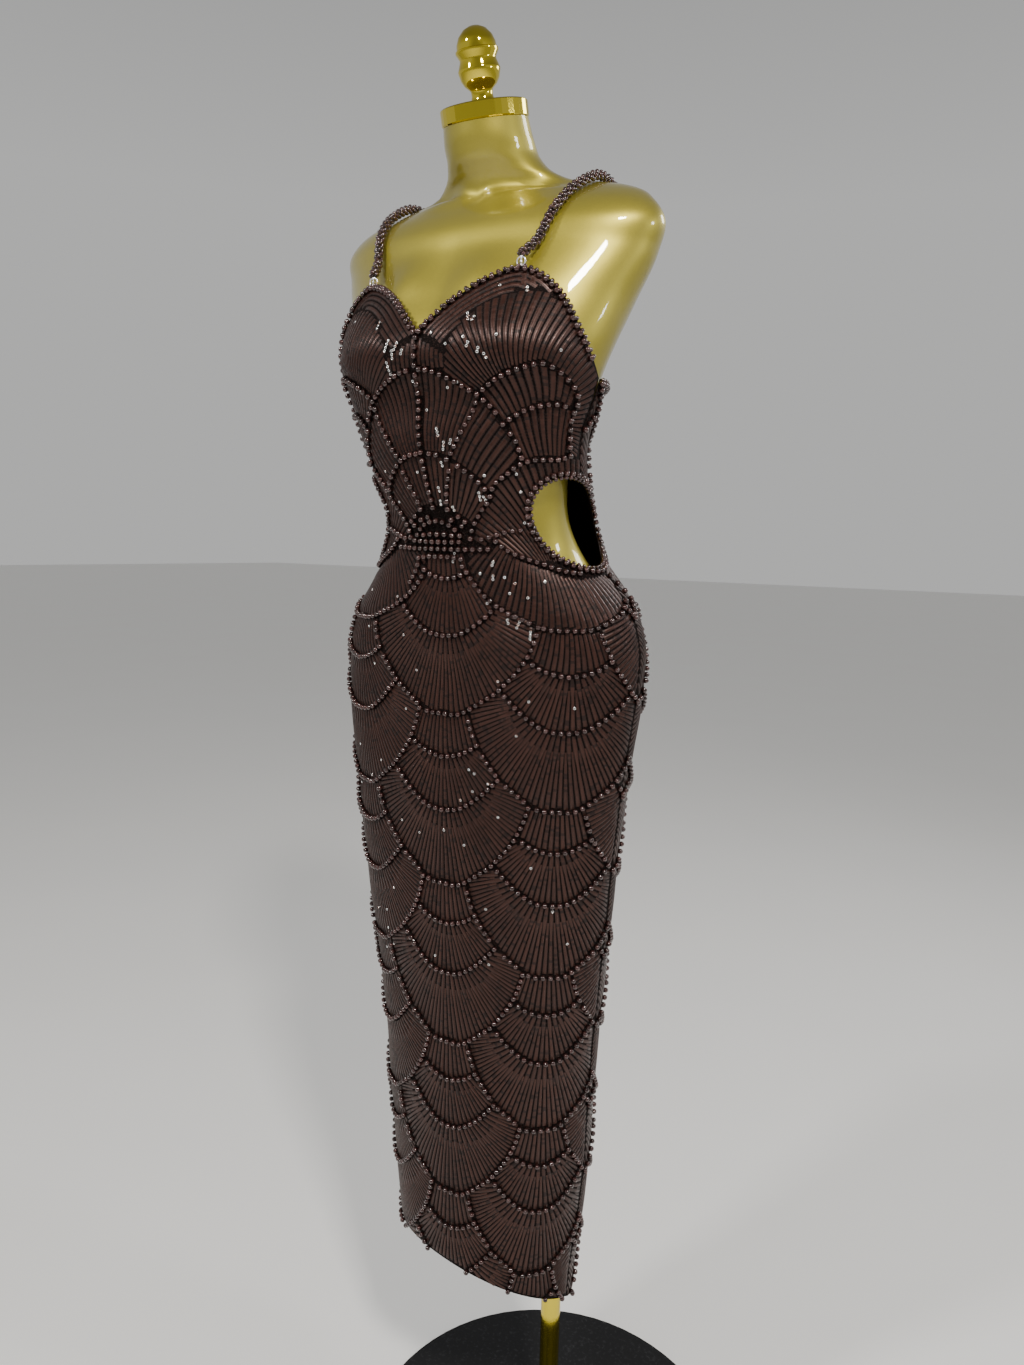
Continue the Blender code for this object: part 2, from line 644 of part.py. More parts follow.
def add_rope(name, route, finish, collection):
    curve = bpy.data.curves.new(name, "CURVE")
    curve.dimensions = "3D"
    curve.bevel_depth = STRAP_RADIUS
    curve.bevel_resolution = 2
    curve.use_fill_caps = True
    spline = curve.splines.new("POLY")
    spline.points.add(len(route) - 1)
    for point, place in zip(spline.points, route):
        point.co = (*place, 1)
    curve.materials.append(finish)
    thing = bpy.data.objects.new(name, curve)
    collection.objects.link(thing)
    return thing


def add_ring(name, centre, finish, collection):
    """The small wire loop between the cup's peak and the strap, seen flat from the front."""
    mesh = bmesh.new()
    turns, sides = 12, 6
    rows = []
    for turn in np.linspace(0, 2 * math.pi, turns, endpoint=False):
        around = np.linspace(0, 2 * math.pi, sides, endpoint=False)
        out = RING_RADIUS + RING_WIRE * np.cos(around)
        rows.append([
            mesh.verts.new((centre[0] + r * math.cos(turn), centre[1] + d, centre[2] + r * math.sin(turn)))
            for r, d in zip(out, RING_WIRE * np.sin(around))
        ])  # fmt: skip
    for row, after in zip(rows, rows[1:] + rows[:1]):
        for i in range(sides):
            j = (i + 1) % sides
            mesh.faces.new((row[i], row[j], after[j], after[i]))
    bmesh.ops.recalc_face_normals(mesh, faces=mesh.faces)
    return add_object(name, mesh, finish, collection)


def build_dress(torso, collection):
    cloth = material("beaded_cloth", (0.045, 0.022, 0.018), 0.55, 0.1)
    pearl = material("pearl_rope", (0.06, 0.028, 0.028), 0.2, 0.3)
    silver = material("silver_wire", (0.75, 0.75, 0.75), 0.2, 1)
    add_object("dress_front", panel_mesh(-1), cloth, collection)
    add_object("dress_back", panel_mesh(1), cloth, collection)
    peak = np.array([max(NECKLINE, key=lambda row: row[1])]).T * MM
    edge = (dress_surface(*peak, -1) - dress_normals(*peak, -1) * WALL / 2)[0]
    ring = edge + np.array([0, 0, RING_RADIUS + RING_WIRE - RING_DROP])
    line = strap_line(torso, ring + np.array([0, 0, RING_RADIUS + RING_WIRE + RING_CLEAR]))
    for name, side in (("left", 1), ("right", -1)):
        swap = np.array([side, 1, 1])
        middle = np.array([BODY_X, 0, 0])
        add_rope(f"strap_{name}", (line - middle) * swap + middle, pearl, collection)
        add_ring(f"strap_ring_{name}", (ring - middle) * swap + middle, silver, collection)


def build_form(torso, collection):
    satin = material("gold_paint", (0.42, 0.33, 0.08), 0.3, 0.8)
    polished = material("polished_gold", (0.75, 0.52, 0.12), 0.1, 1)
    black = material("black_base", (0.012, 0.012, 0.013), 0.35, 0)
    form_foot = FORM_SECTIONS[0][0] * MM
    add_object("form_torso", torso, satin, collection)
    frame = neck_frame()
    cap = add_disc("neck_cap", CAP_RADIUS, CAP_HEIGHT, CAP_BEVEL, FORM_RING_POINTS, polished, collection)
    cap.matrix_world = frame @ Matrix.Translation((0, 0, GAP))
    finial = add_turned("finial", np.array(FINIAL_PROFILE) * MM, False, polished, collection)
    finial.matrix_world = frame @ Matrix.Translation((0, 0, CAP_HEIGHT + 2 * GAP))
    pole_height = form_foot - BASE_THICK - 2 * GAP
    pole = add_disc("pole", POLE_RADIUS, pole_height, POLE_BEVEL, POLE_SIDES, polished, collection)
    pole.location.z = BASE_THICK + GAP
    bore = POLE_RADIUS + POLE_CLEAR
    collar = [
        (bore, SOCKET_HEIGHT), (SOCKET_RADIUS, SOCKET_HEIGHT), (SOCKET_RADIUS, SOCKET_CHAMFER),
        (SOCKET_RADIUS - SOCKET_CHAMFER, 0), (bore, 0),
    ]  # fmt: skip
    socket = add_turned("pole_socket", collar, True, polished, collection)
    socket.location.z = form_foot - SOCKET_HEIGHT - GAP
    add_disc("base_disc", BASE_RADIUS, BASE_THICK, BASE_BEVEL, BASE_SIDES, black, collection)


def main():
    clear_scene()
    collection = bpy.data.collections.new("beaded maxi dress on dress form")
    bpy.context.scene.collection.children.link(collection)
    torso = torso_mesh()
    build_dress(torso, collection)
    build_form(torso, collection)


main()
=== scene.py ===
"""Looks of a bodycon maxi dress, sewn with sequins in fans edged by rows of pearls, on a gold dress form.

Metres, +Z up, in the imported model's frame. Places on the cloth are (across, height): the length of cloth from a
panel's middle, towards the wearer's left where it is positive, and the height. Tables are in millimetres.
"""

import math

import bmesh
import bpy
import numpy as np
from bpy.props import FloatProperty, FloatVectorProperty, PointerProperty
from mathutils import Matrix, Vector
from mathutils.bvhtree import BVHTree
from mathutils.geometry import delaunay_2d_cdt


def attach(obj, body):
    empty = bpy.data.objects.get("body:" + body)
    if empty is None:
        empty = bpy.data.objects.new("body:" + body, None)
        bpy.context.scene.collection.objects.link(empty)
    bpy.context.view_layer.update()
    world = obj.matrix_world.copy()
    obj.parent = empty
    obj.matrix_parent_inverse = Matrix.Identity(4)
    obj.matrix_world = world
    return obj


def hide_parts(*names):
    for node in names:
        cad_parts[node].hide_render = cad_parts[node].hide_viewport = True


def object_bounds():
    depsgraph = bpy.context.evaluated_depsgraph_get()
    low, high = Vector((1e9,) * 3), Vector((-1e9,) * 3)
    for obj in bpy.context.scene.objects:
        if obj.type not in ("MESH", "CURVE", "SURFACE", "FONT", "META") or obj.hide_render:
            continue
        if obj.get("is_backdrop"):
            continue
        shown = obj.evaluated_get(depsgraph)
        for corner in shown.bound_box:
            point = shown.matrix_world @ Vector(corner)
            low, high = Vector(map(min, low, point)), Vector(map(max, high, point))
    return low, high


bl_info = {
    "name": "Beaded maxi dress",
    "version": (1, 0, 0),
    "blender": (4, 5, 0),
    "location": "3D View > Sidebar > Beaded dress",
    "description": "Cloth, sequins, pearls, straps and dress form of a beaded maxi dress",
    "category": "Object",
}

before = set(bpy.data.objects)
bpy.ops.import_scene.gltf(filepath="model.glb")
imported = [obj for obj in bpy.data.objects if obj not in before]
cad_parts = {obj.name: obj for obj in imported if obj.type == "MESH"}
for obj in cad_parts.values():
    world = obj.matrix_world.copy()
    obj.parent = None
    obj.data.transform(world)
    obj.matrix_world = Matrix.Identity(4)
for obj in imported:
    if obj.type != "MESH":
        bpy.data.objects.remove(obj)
CAD_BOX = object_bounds()

MM = 0.001
GAP = 0.35 * MM
BODY_X, BODY_Y = -65 * MM, -25 * MM

# Cross-sections of the cloth's outer face, as half ellipses in front of and behind a widest line.
# height, half_width, front, back, centre_y, centre_x
DRESS_SECTIONS = (
    (220, 106, 93, 87, -16, -1),
    (300, 112, 94, 88, -20, -2),
    (460, 130, 94, 92, -24, -3),
    (620, 140, 93, 96, -32, -3),
    (780, 158, 88, 101, -45, -4),
    (900, 171, 88, 108, -51, -5),
    (980, 180, 88, 115, -53, -5),
    (1050, 186, 92, 120, -50, -4),
    (1090, 184, 97, 117, -49, -2),
    (1120, 174, 100, 111, -47, -1),
    (1150, 154, 101, 103, -46, 0),
    (1180, 132, 100, 96, -48, -1),
    (1220, 122, 95, 91, -57, -1),
    (1260, 123, 88, 92, -80, 0),
    (1300, 130, 82, 91, -96, 0),
    (1340, 144, 80, 89, -97, 0),
    (1380, 157, 90, 90, -95, 0),
    (1410, 163, 93, 90, -86, 0),
    (1440, 169, 93, 90, -77, 0),
    (1500, 184, 84, 87, -68, 0),
)

# Cross-sections of the form. height, half_width, front, back, centre_y, centre_x
FORM_SECTIONS = (
    (800, 140, 70, 92, -46, -4),
    (900, 158, 80, 98, -51, -5),
    (980, 173, 82, 109, -53, -5),
    (1050, 180, 87, 115, -50, -4),
    (1090, 177, 91, 111, -49, -2),
    (1120, 164, 94, 100, -48, -1),
    (1150, 141, 90, 84, -51, 0),
    (1180, 118, 82, 72, -60, -1),
    (1220, 105, 71, 64, -76, -1),
    (1260, 106, 77, 62, -85, 0),
    (1300, 117, 77, 72, -95, 0),
    (1340, 135, 74, 83, -97, 0),
    (1380, 151, 85, 86, -95, 0),
    (1440, 169, 90, 90, -73, 0),
    (1485, 186, 80, 81, -60, 0),
    (1515, 191, 70, 77, -57, 0),
    (1535, 177, 59, 68, -50, 0),
    (1548, 161, 50, 55, -40, 0),
    (1558, 136, 44, 44, -33, 0),
    (1566, 93, 44, 44, -36, 0),
    (1575, 68, 46, 48, -46, 0),
    (1590, 50, 49, 50, -63, 0),
    (1605, 47, 47, 47, -74, 0),
    (1624, 44.5, 44.5, 44.5, -82, 0),
)
# The neck's sections tilt: height, degrees forward
FORM_LEANS = ((1558, 0), (1566, 1), (1575, 4), (1590, 9), (1605, 13), (1624, 17))
FORM_RING_POINTS, FORM_STEP = 128, 4 * MM
# Soft forms of the chest, collarbones, pit and hollows of the neck, middle and tops of the breasts:
# depth, distance from the middle, spread across, height, spread up, rise of the height per distance
BODY_FORMS = (
    (-4, 48, 34, 1543, 7, 0.06),
    (4, 0, 12, 1550, 10, 0),
    (3, 62, 28, 1557, 8, 0.06),
    (2.5, 0, 16, 1450, 50, 0),
    (-5, 47, 24, 1456, 24, 0),
)
# The foot of the neck stands out in front, with the same columns
THROAT = (22, 0, 42, 1561, 16, 0)
# Above the shelf of the shoulders a soft form moves the face up or down too
SHELF_Z, SHELF_RAMP, SHELF_SHARE = 1510 * MM, 30.2 * MM, 0.7
BODY_CREASE, FINIAL_CREASE, FINIAL_STEPS = 40, 38, 64

# The cups: a soft swelling on each side of the centre line. The cloth spans the dip between them.
CUP_X, CUP_Z = 80 * MM, 1385 * MM
CUP_SPREAD_X, CUP_SPREAD_Z, CUP_BRIDGE = 43 * MM, 34 * MM, 100 * MM
CUP_RISE, FORM_CUP_RISE, FORM_BRIDGE = 20 * MM, 19 * MM, 55 * MM

# The neckline's right half, from the centre of the sweetheart over the cup's peak to the underarm.
NECKLINE = (
    (0, 1397), (22, 1419), (46, 1439), (71, 1452.5), (91, 1457), (116, 1448), (137, 1430), (158, 1402), (176, 1376),
)  # fmt: skip
UNDERARM_Z, BACK_DIP = 1358 * MM, 12 * MM

# Side cut-out: an oval that crosses each side seam. Its centre lies ahead of the seam.
CUTOUT_Z, CUTOUT_AHEAD = 1218 * MM, 20 * MM
CUTOUT_HALF_WIDTH, CUTOUT_HALF_HEIGHT, CUTOUT_POINTS = 52 * MM, 45 * MM, 90

# The hem falls towards the back, and a little towards the wearer's left.
HEM_Z, HEM_SLOPE, HEM_LEAN = 305 * MM, 0.49, -0.17
EDGE_STEP, CLOTH_STEP, LINE_STEP = 5 * MM, 8 * MM, 2 * MM
# Points of the cloth's grid stand at least this share of a step from the edge
GRID_CLEAR, WELD = 0.6, 0.1 * MM
# Lookup of angles round a panel: heights, shares of the way to the seam, steps of a quarter ellipse
TABLE_LOW, TABLE_HIGH, TABLE_ROWS, TABLE_COLUMNS, QUARTER_STEPS = 0.15, 1.5, 1351, 101, 40
LAST_CELL = 1.001
# Smooth curves: points for each row of a table, and points of an arc's curve and of an arc's line
ROW_POINTS, ARC_CURVE_POINTS, ARC_LINE_POINTS, ARC_REACH = 12, 200, 161, 0.999
# Soft unevenness of the worn cloth: height, share of it that sinks, and its waves, in radians to the metre
SWELL, SWELL_SINK, SWELL_ACROSS, SWELL_SLANT, SWELL_UP, SWELL_START = 0.7 * MM, 0.4, 31, 17, 41, 1.1

# Fans: columns half a row apart, whose distance is a share of the panel's half width
COLUMN_SHARE, COLUMN_SHIFT, ROW = 0.61, 4 * MM, 190 * MM
FAN_FLOOR, FAN_CEILING = 1015 * MM, 1110 * MM
COLUMNS_EACH_SIDE, ROWS_ABOVE, ROWS_BELOW = 2, 2, 6
FIRST_ARC_Z, FIRST_ARC_FLATNESS = 1100 * MM, 0.58
# Arcs of a fan: distance from its middle as a share of the columns' distance, height above the arc's bottom
LARGE_ARC = (
    (0, 0), (0.16, 1.5), (0.26, 9), (0.365, 19), (0.46, 28), (0.53, 38), (0.6, 49), (0.66, 60), (0.7, 70),
    (0.74, 82), (0.775, 98),
)  # fmt: skip
MEDIUM_ARC = ((0, 0), (0.15, 3), (0.27, 12), (0.35, 20), (0.43, 30), (0.5, 39), (0.56, 49), (0.62, 61), (0.8, 100))
SMALL_ARC = ((0, 0), (0.12, 3), (0.22, 8), (0.3, 15), (0.4, 26), (0.8, 80))
MEDIUM_DROP, SMALL_DROP = 106 * MM, 47 * MM
# How far above the fan's top its ribs meet: small, medium and large band
BAND_APEX = (80 * MM, -15 * MM, -62 * MM)
BAND_RADIUS = (127 * MM, 91 * MM, 128 * MM)
BAND_REACH = (28, 100, 104)
# Every other rib ends where the ribs stand closer than this share of their period
PAIR_FULL, PAIR_NONE = 0.48, 0.62
# Ribs start and stop near the edge of their fan, and are never wider than this share of their period
FAN_OVER, FAN_UNDER, FAN_RIB_REACH = 12 * MM, 2 * MM, 260 * MM
RIB_NARROWEST, RIB_WIDEST, RIB_SHORTEST, ROW_SHORTEST = 1.5 * MM, 1.08, 4, 5
# A rib's section: places across as a share of its width, and lifts as a share of its height
RIB_ACROSS, RIB_LIFT = np.array([-0.5, -0.3, 0.3, 0.5]), np.array([-0.15, 1, 1, -0.15])
RIB_SIDES_UV = (0.02, 0.2, 0.8, 0.98)
RIB_TRIM, RIB_POINT_STEP, RIB_FILL, RIB_TIP = 3, 7 * MM, 0.86, 0.35
ROW_CLEAR, WAIST_CLEAR = 0.8 * MM, 2 * MM

# Rows of pearls on the bodice, right half
BODICE_ROWS = {
    "centre_line": ((0, 1390), (0, 1363), (0, 1322), (0, 1285)),
    "under_bust": ((0, 1363), (16, 1361), (31, 1356), (50, 1347), (65, 1338)),
    "centre_rib": ((65, 1338), (63, 1329), (59, 1319), (51, 1307), (43, 1295), (37, 1286), (29, 1278)),
    "waist_arch": ((0, 1284), (15, 1283), (28, 1279), (40, 1271), (50, 1263), (60, 1253), (65, 1243)),
    "side_fan": (
        (65, 1338), (72, 1343), (82, 1350), (97, 1357), (112, 1362), (127, 1365), (137, 1361), (147, 1352), (155, 1341),
        (155, 1331), (150, 1320), (149, 1303), (149, 1284),
    ),
    "side_arc": ((87, 1310), (94, 1316), (103, 1322), (112, 1326), (124, 1329), (136, 1330), (150, 1327)),
    "slant": ((65, 1338), (72, 1331), (79, 1324), (83, 1317), (87, 1310), (92, 1303), (96, 1297), (100, 1280)),
    "side_base": (
        (65, 1243), (69, 1251), (75, 1258), (83, 1263), (90, 1269), (100, 1275), (108, 1278), (119, 1279), (135, 1280),
        (149, 1284),
    ),
    "fan_side": ((65, 1243), (60, 1236), (52, 1228), (46, 1219), (41, 1211), (38, 1200)),
    "fan_ray": ((29, 1267), (25, 1257), (21, 1248), (18, 1238), (17, 1230)),
    "middle_ray": ((0, 1277), (0, 1232)),
    "waist_upper": ((0, 1196), (30, 1197), (50, 1200), (66, 1205), (80, 1209), (88, 1210)),
    "waist_lower": ((0, 1189), (30, 1189), (56, 1190)),
    "under_cutout": (
        (64, 1198), (72, 1191), (81, 1186), (91, 1182), (111, 1175), (131, 1168), (150, 1166), (170, 1169), (190, 1172),
    ),
    "fan_top": ((0, 1181), (12, 1181), (27, 1179)),
    "fan_top_side": ((27, 1179), (29, 1169), (35, 1160), (40, 1153)),
    "rosette": ((0, 1231), (12, 1230), (24, 1225), (33, 1218), (40, 1212)),
    "rosette_inner": ((0, 1218), (11, 1216), (21, 1210), (27, 1203)),
    "rosette_middle": ((0, 1223), (0, 1204)),
    "rosette_near": ((9, 1222), (9, 1204)),
    "rosette_far": ((19, 1219), (18, 1203)),
    "rosette_outer": ((30, 1213), (29, 1203)),
}  # fmt: skip
# The inner edge of the band along the neckline, from under the bust to the neckline
CUP_EDGE = (
    (31, 1357), (34, 1376), (41, 1394), (52, 1408), (63, 1420), (76, 1429), (97, 1434), (119, 1434), (134, 1426),
)  # fmt: skip
# The lower edge of the neckline's band, from the middle to the cup's edge
YOKE_LOW = ((0, 1363), (16, 1361), (31, 1357))
# Regions run on to a line outside the panel: its distance from the middle, and corners on it
FAR_SIDE, FAR_LOW, FAR_HIGH = 260, 1280, 1400
WAIST_CORNERS = ((260, 1284), (260, 1160), (88, 1180), (56, 1190))
# Places with none of the regions' ribs: the neckline's band, and the rosette at the waist
YOKE_REACH, YOKE_FLOOR = 90 * MM, 1355 * MM
ROSETTE_REACH, ROSETTE_TOP = 41 * MM, 1231 * MM
# The bodice's middle line sways to the wearer's right: height, across
BODICE_SWAY = ((1190, -3), (1240, -5), (1285, -8), (1310, -8), (1350, -5), (1385, 1), (1400, 0))
SWAY_FULL, SWAY_NONE = 60 * MM, 125 * MM
# Ribs along the neckline: number, slope of their lower ends, inset of the first, width and first place across
YOKE_RIBS, YOKE_SLOPE, EDGE_ROW_CLEAR, YOKE_PERIOD, YOKE_FIRST = 9, 0.55, 7 * MM, 0.8, 0.75
# Rows of pearls along the edges: their insets, the step along the neckline and the points behind
EDGE_INSET, CUTOUT_INSET, NECK_ROW_STEP, BACK_ROW_POINTS = 3.6 * MM, 4.6 * MM, 3 * MM, 60
RIM_INSET, RIM_SPACING = 0.7 * MM, 6.4 * MM
# Pearls: lift as a share of the diameter, least distance as a share of the spacing, sizes, facets and most of all
PEARL_LIFT, PEARL_CLEAR, PEARL_SIZES, PEARL_BALL, MOST_PEARLS = 0.42, 0.66, (0.94, 1.05), (8, 6), 20000
# Heights between which a panel's widest length of cloth is sought
WIDTH_HEIGHTS = np.linspace(0.3, 1.35, 60)
# Ribs of the bodice: their ends' distances from where they meet, and the share of a period clear of the middle
BODICE_START, BODICE_REACH, MIDDLE_CLEAR = 4 * MM, 620 * MM, 0.3
# They lie within this distance of the middle and between these heights
BODICE_WIDE, BODICE_LOW, BODICE_HIGH = 0.27, 1.15, 1.46
# Where a region's ribs meet, and the distance at which they stand a full width apart
REGION_RIBS = {
    "under_cups": ((0, 1205), 140),
    "slanted": ((-70, 1110), 235),
    "side_fan": ((119, 1270), 80),
    "side_small": ((128, 1205), 115),
    "waist_fan": ((0, 1175), 100),
    "waist_side": ((130, 1150), 110),
    "cup": ((103, 1310), 105),
    "flank": ((190, 900), 430),
}

# Groups of ring sequins on the front: across, height, how many hang in the group
GLINTS = (
    (-32, 1390, 4), (-27, 1380, 3), (-35, 1370, 4), (-21, 1387, 3), (-15, 1380, 2), (56, 1387, 1), (61, 1382, 2),
    (71, 1377, 2), (76, 1372, 2), (88, 1388, 1), (37, 1382, 1), (2, 1325, 1), (13, 1307, 3), (20, 1294, 3),
    (28, 1296, 2), (14, 1275, 2), (6, 1251, 2), (5, 1238, 2), (18, 1232, 2), (49, 1246, 3), (53, 1242, 2),
    (58, 1177, 2), (44, 1165, 1), (58, 1163, 2), (70, 1162, 1), (76, 1146, 1), (95, 1142, 1), (81, 1156, 1),
    (76, 1119, 2), (89, 1118, 3), (101, 1108, 3), (53, 1135, 1), (62, 1406, 2), (54, 1410, 3), (-52, 1411, 3),
    (76, 1438, 1), (103, 1435, 2),
)  # fmt: skip
GLINT_STEP, GLINT_TURN, GLINT_LIFT, SEQUIN_RING_RADIUS = 3.4 * MM, 0.5, 0.3 * MM, 1.7 * MM
# Single ring sequins: corners of where they are strewn, and how many
STREWN_LOW, STREWN_HIGH, STREWN = (-0.15, 0.7), (0.15, 1.42), 70
# Turns, sides and wire of a ring sequin and of the strap's ring
SEQUIN_RING, STRAP_RING_TURNS = (9, 4, 0.32), (20, 8)

STRAP_RADIUS, STRAP_CLEAR, STRAP_LEAD, RING_CLEAR = 5.2 * MM, 0.9 * MM, 14 * MM, 1.5 * MM
STRAP_AIM_Y, STRAP_AIM_Z, STRAP_FAR = -80 * MM, 1440 * MM, 0.2
# The straps slant outwards to the shoulder: degrees up from straight ahead and over it, across
STRAP_SLANT = ((0, 90), (40, 97), (70, 109), (100, 117), (150, 114), (239, 101))
STRAP_PLACES, STRAP_SEEKS, STRAP_SMOOTHINGS = 240, 40, 12
# Pearls round a strap, how far out they lie, their rings' distance as a share of a pearl, depth under the edge
STRAP_ROUND, STRAP_PEARL_OUT, STRAP_RING_STEP, STRAP_DEPTH = 4, 2.9 * MM, 0.9, 1.2 * MM
# Beads in a strap's ring: heights, radius, segments and rings
BEAD_HEIGHTS, BEAD_RADIUS, BEAD_BALL = (-3.4, 0, 3.4), 1.7 * MM, (12, 8)
RING_RADIUS, RING_WIRE, RING_DROP = 4.6 * MM, 0.9 * MM, 0.5 * MM
CAP_HEIGHT = 16 * MM
# Finial, turned: radius, height above the cap
FINIAL_PROFILE = (
    (0, 70), (6, 69.3), (12, 66.4), (17.4, 60.5), (20, 54), (20.4, 49.4), (21.8, 48.6), (21.9, 46.4), (18.6, 41),
    (18.8, 39), (21.2, 32.4), (21.8, 31), (21.3, 28.6), (19.6, 22.5), (16.4, 17.6), (12.4, 14.4), (11.2, 12.8),
    (10.9, 8.6), (12.2, 3.6), (15.2, 0.5), (15.4, 0), (0, 0),
)  # fmt: skip

# Camera, in the photograph's frame of 1024 by 1365
CAMERA_PLACE, CAMERA_LENS = (0.531, -1.019, 1.2), 26.0
CAMERA_HEADING, CAMERA_PITCH, CAMERA_ROLL, CAMERA_SENSOR = 31.0, -8.23, 1.4, 36

# name, place, size, power share, colour. Each light looks at the dress's middle.
LIGHTS = (
    ("key", (1.5, -1.6, 3.0), 0.3, 1.15, (1.0, 0.96, 0.9)),
    ("window", (-1.1, -2.2, 2.9), 0.3, 0.62, (1.0, 0.99, 0.97)),
    ("side", (2.3, 0.3, 1.9), 0.3, 0.14, (0.97, 0.98, 1.0)),
    ("back", (1.2, 2.2, 2.6), 0.8, 0.34, (1.0, 1.0, 1.0)),
)
LIGHT_AIM = (-0.065, -0.05, 1.05)
# The room: light from all round and from above, and between which heights of view the one passes into the other
ROOM_COLOUR, ROOM_LIGHT, CEILING_LIGHT, CEILING_RAMP = (0.9, 0.9, 0.89), 0.56, 0.24, (0.3, 0.75)
# A dimmer part of the room straight ahead of the dress: direction, light, and how near to it the dimming comes
SHADE_HEADING, SHADE_LIGHT, SHADE_RAMP = (0.5, -0.866, 0), 0.5, (0.72, 0.95)
FLOOR_SIZE, FLOOR_DROP, FLOOR_GLOW = 60, 0.0005, 0.12


# ---------------------------------------------------------------- settings


class ClothSettings(bpy.types.PropertyGroup):
    thickness: FloatProperty(
        name="Cloth thickness", description="Thickness of the lined cloth", default=1.2 * MM, unit="LENGTH"
    )
    rib_period: FloatProperty(
        name="Rib period", description="Distance between ribs of sequins", default=6.8 * MM, unit="LENGTH"
    )
    rib_height: FloatProperty(
        name="Rib height", description="How far a rib stands off the cloth", default=1.1 * MM, unit="LENGTH"
    )
    sequin: FloatProperty(
        name="Sequin step", description="Distance between sequins along a rib", default=2.8 * MM, unit="LENGTH"
    )
    satin: FloatVectorProperty(
        name="Sequin colour",
        description="Colour of the satin sequins",
        default=(0.044, 0.0156, 0.0104),
        subtype="COLOR",
    )
    ground: FloatVectorProperty(
        name="Ground colour",
        description="Colour of the cloth between ribs",
        default=(0.004, 0.0018, 0.0015),
        subtype="COLOR",
    )


class PearlSettings(bpy.types.PropertyGroup):
    diameter: FloatProperty(
        name="Pearl diameter", description="Diameter of a pearl", default=6.3 * MM, unit="LENGTH"
    )
    spacing: FloatProperty(
        name="Pearl spacing", description="Distance between pearls in a row", default=8.0 * MM, unit="LENGTH"
    )
    strap_diameter: FloatProperty(
        name="Strap pearl diameter", description="Diameter of a strap's pearls", default=5.0 * MM, unit="LENGTH"
    )
    colour: FloatVectorProperty(
        name="Pearl colour", description="Colour of the pearls", default=(0.042, 0.0155, 0.0135), subtype="COLOR"
    )


class FormSettings(bpy.types.PropertyGroup):
    paint: FloatVectorProperty(
        name="Paint colour", description="Colour of the form's paint", default=(0.37, 0.31, 0.034), subtype="COLOR"
    )
    gold: FloatVectorProperty(
        name="Metal colour", description="Colour of the polished metal", default=(0.7, 0.56, 0.055), subtype="COLOR"
    )
    black: FloatVectorProperty(
        name="Base colour", description="Colour of the base's lacquer", default=(0.012, 0.012, 0.013), subtype="COLOR"
    )


class StageSettings(bpy.types.PropertyGroup):
    key_power: FloatProperty(
        name="Key light", description="Power of the large light", default=66.0, unit="POWER"
    )
    backdrop: FloatVectorProperty(
        name="Floor colour", description="Colour of the floor", default=(0.88, 0.87, 0.85), subtype="COLOR"
    )


class DressSettings(bpy.types.PropertyGroup):
    cloth: PointerProperty(name="Cloth", description="Measures and colours of the cloth", type=ClothSettings)
    pearls: PointerProperty(name="Pearls", description="Measures and colour of the pearls", type=PearlSettings)
    form: PointerProperty(name="Form", description="Colours of the form and its stand", type=FormSettings)
    stage: PointerProperty(name="Stage", description="Light and floor round the dress", type=StageSettings)


# ---------------------------------------------------------------- materials


class Value:
    """A shader value whose arithmetic adds Math nodes."""

    def __init__(self, finish, socket):
        self.finish, self.socket = finish, socket

    def math(self, operation, *values):
        return self.finish.node("ShaderNodeMath", {"operation": operation}, dict(enumerate(values)))

    def __add__(self, other):
        return self.math("ADD", self, other)

    def __sub__(self, other):
        return self.math("SUBTRACT", self, other)

    def __rsub__(self, other):
        return self.math("SUBTRACT", other, self)

    def __mul__(self, other):
        return self.math("MULTIPLY", self, other)

    def __truediv__(self, other):
        return self.math("DIVIDE", self, other)

    __radd__, __rmul__ = __add__, __mul__

    def part(self, number):
        """Another output of the node that gives this value."""
        return Value(self.finish, self.socket.node.outputs[number])

    def of(self, operation, *others):
        return self.math(operation, self, *others)

    def ramp(self, low, high):
        """0 below low, 1 above high, and smooth between them."""
        return self.finish.node(
            "ShaderNodeMapRange", {"interpolation_type": "SMOOTHSTEP"}, {0: self, 1: low, 2: high, 3: 0, 4: 1}
        )


class Finish:
    """A Principled material under construction."""

    def __init__(self, name, **settings):
        self.material = bpy.data.materials.new(name)
        self.material.use_nodes = True
        self.tree = self.material.node_tree
        self.shader = self.tree.nodes["Principled BSDF"]
        self.set(**settings)

    def set(self, **settings):
        for name, value in settings.items():
            self.plug(self.shader.inputs[name.replace("_", " ")], value)

    def plug(self, socket, value):
        if isinstance(value, Value):
            self.tree.links.new(value.socket, socket)
        elif hasattr(value, "__len__") and len(value) == 3 and len(socket.default_value) == 4:
            socket.default_value = (*value, 1)
        else:
            socket.default_value = value

    def node(self, kind, settings=None, inputs=None, output=0):
        """A node of any kind, its settings first and then the values or links of its sockets."""
        made = self.tree.nodes.new(kind)
        for name, value in (settings or {}).items():
            setattr(made, name, value)
        for key, value in (inputs or {}).items():
            self.plug(made.inputs[key], value)
        return Value(self, made.outputs[output])

    def place(self):
        return self.node("ShaderNodeTexCoord", output="Object")

    def noise(self, scale, detail=2, vector=None):
        vector = vector or self.place()
        return self.node("ShaderNodeTexNoise", {}, {"Vector": vector, "Scale": scale, "Detail": detail})

    def mix(self, share, first, second):
        return self.node("ShaderNodeMix", {"data_type": "RGBA"}, {0: share, 6: first, 7: second}, 2)

    def bump(self, height, distance, strength=1.0):
        return self.node("ShaderNodeBump", {}, {"Height": height, "Distance": distance, "Strength": strength})


def tint(colour, factor):
    return tuple(min(1, part * factor) for part in colour)


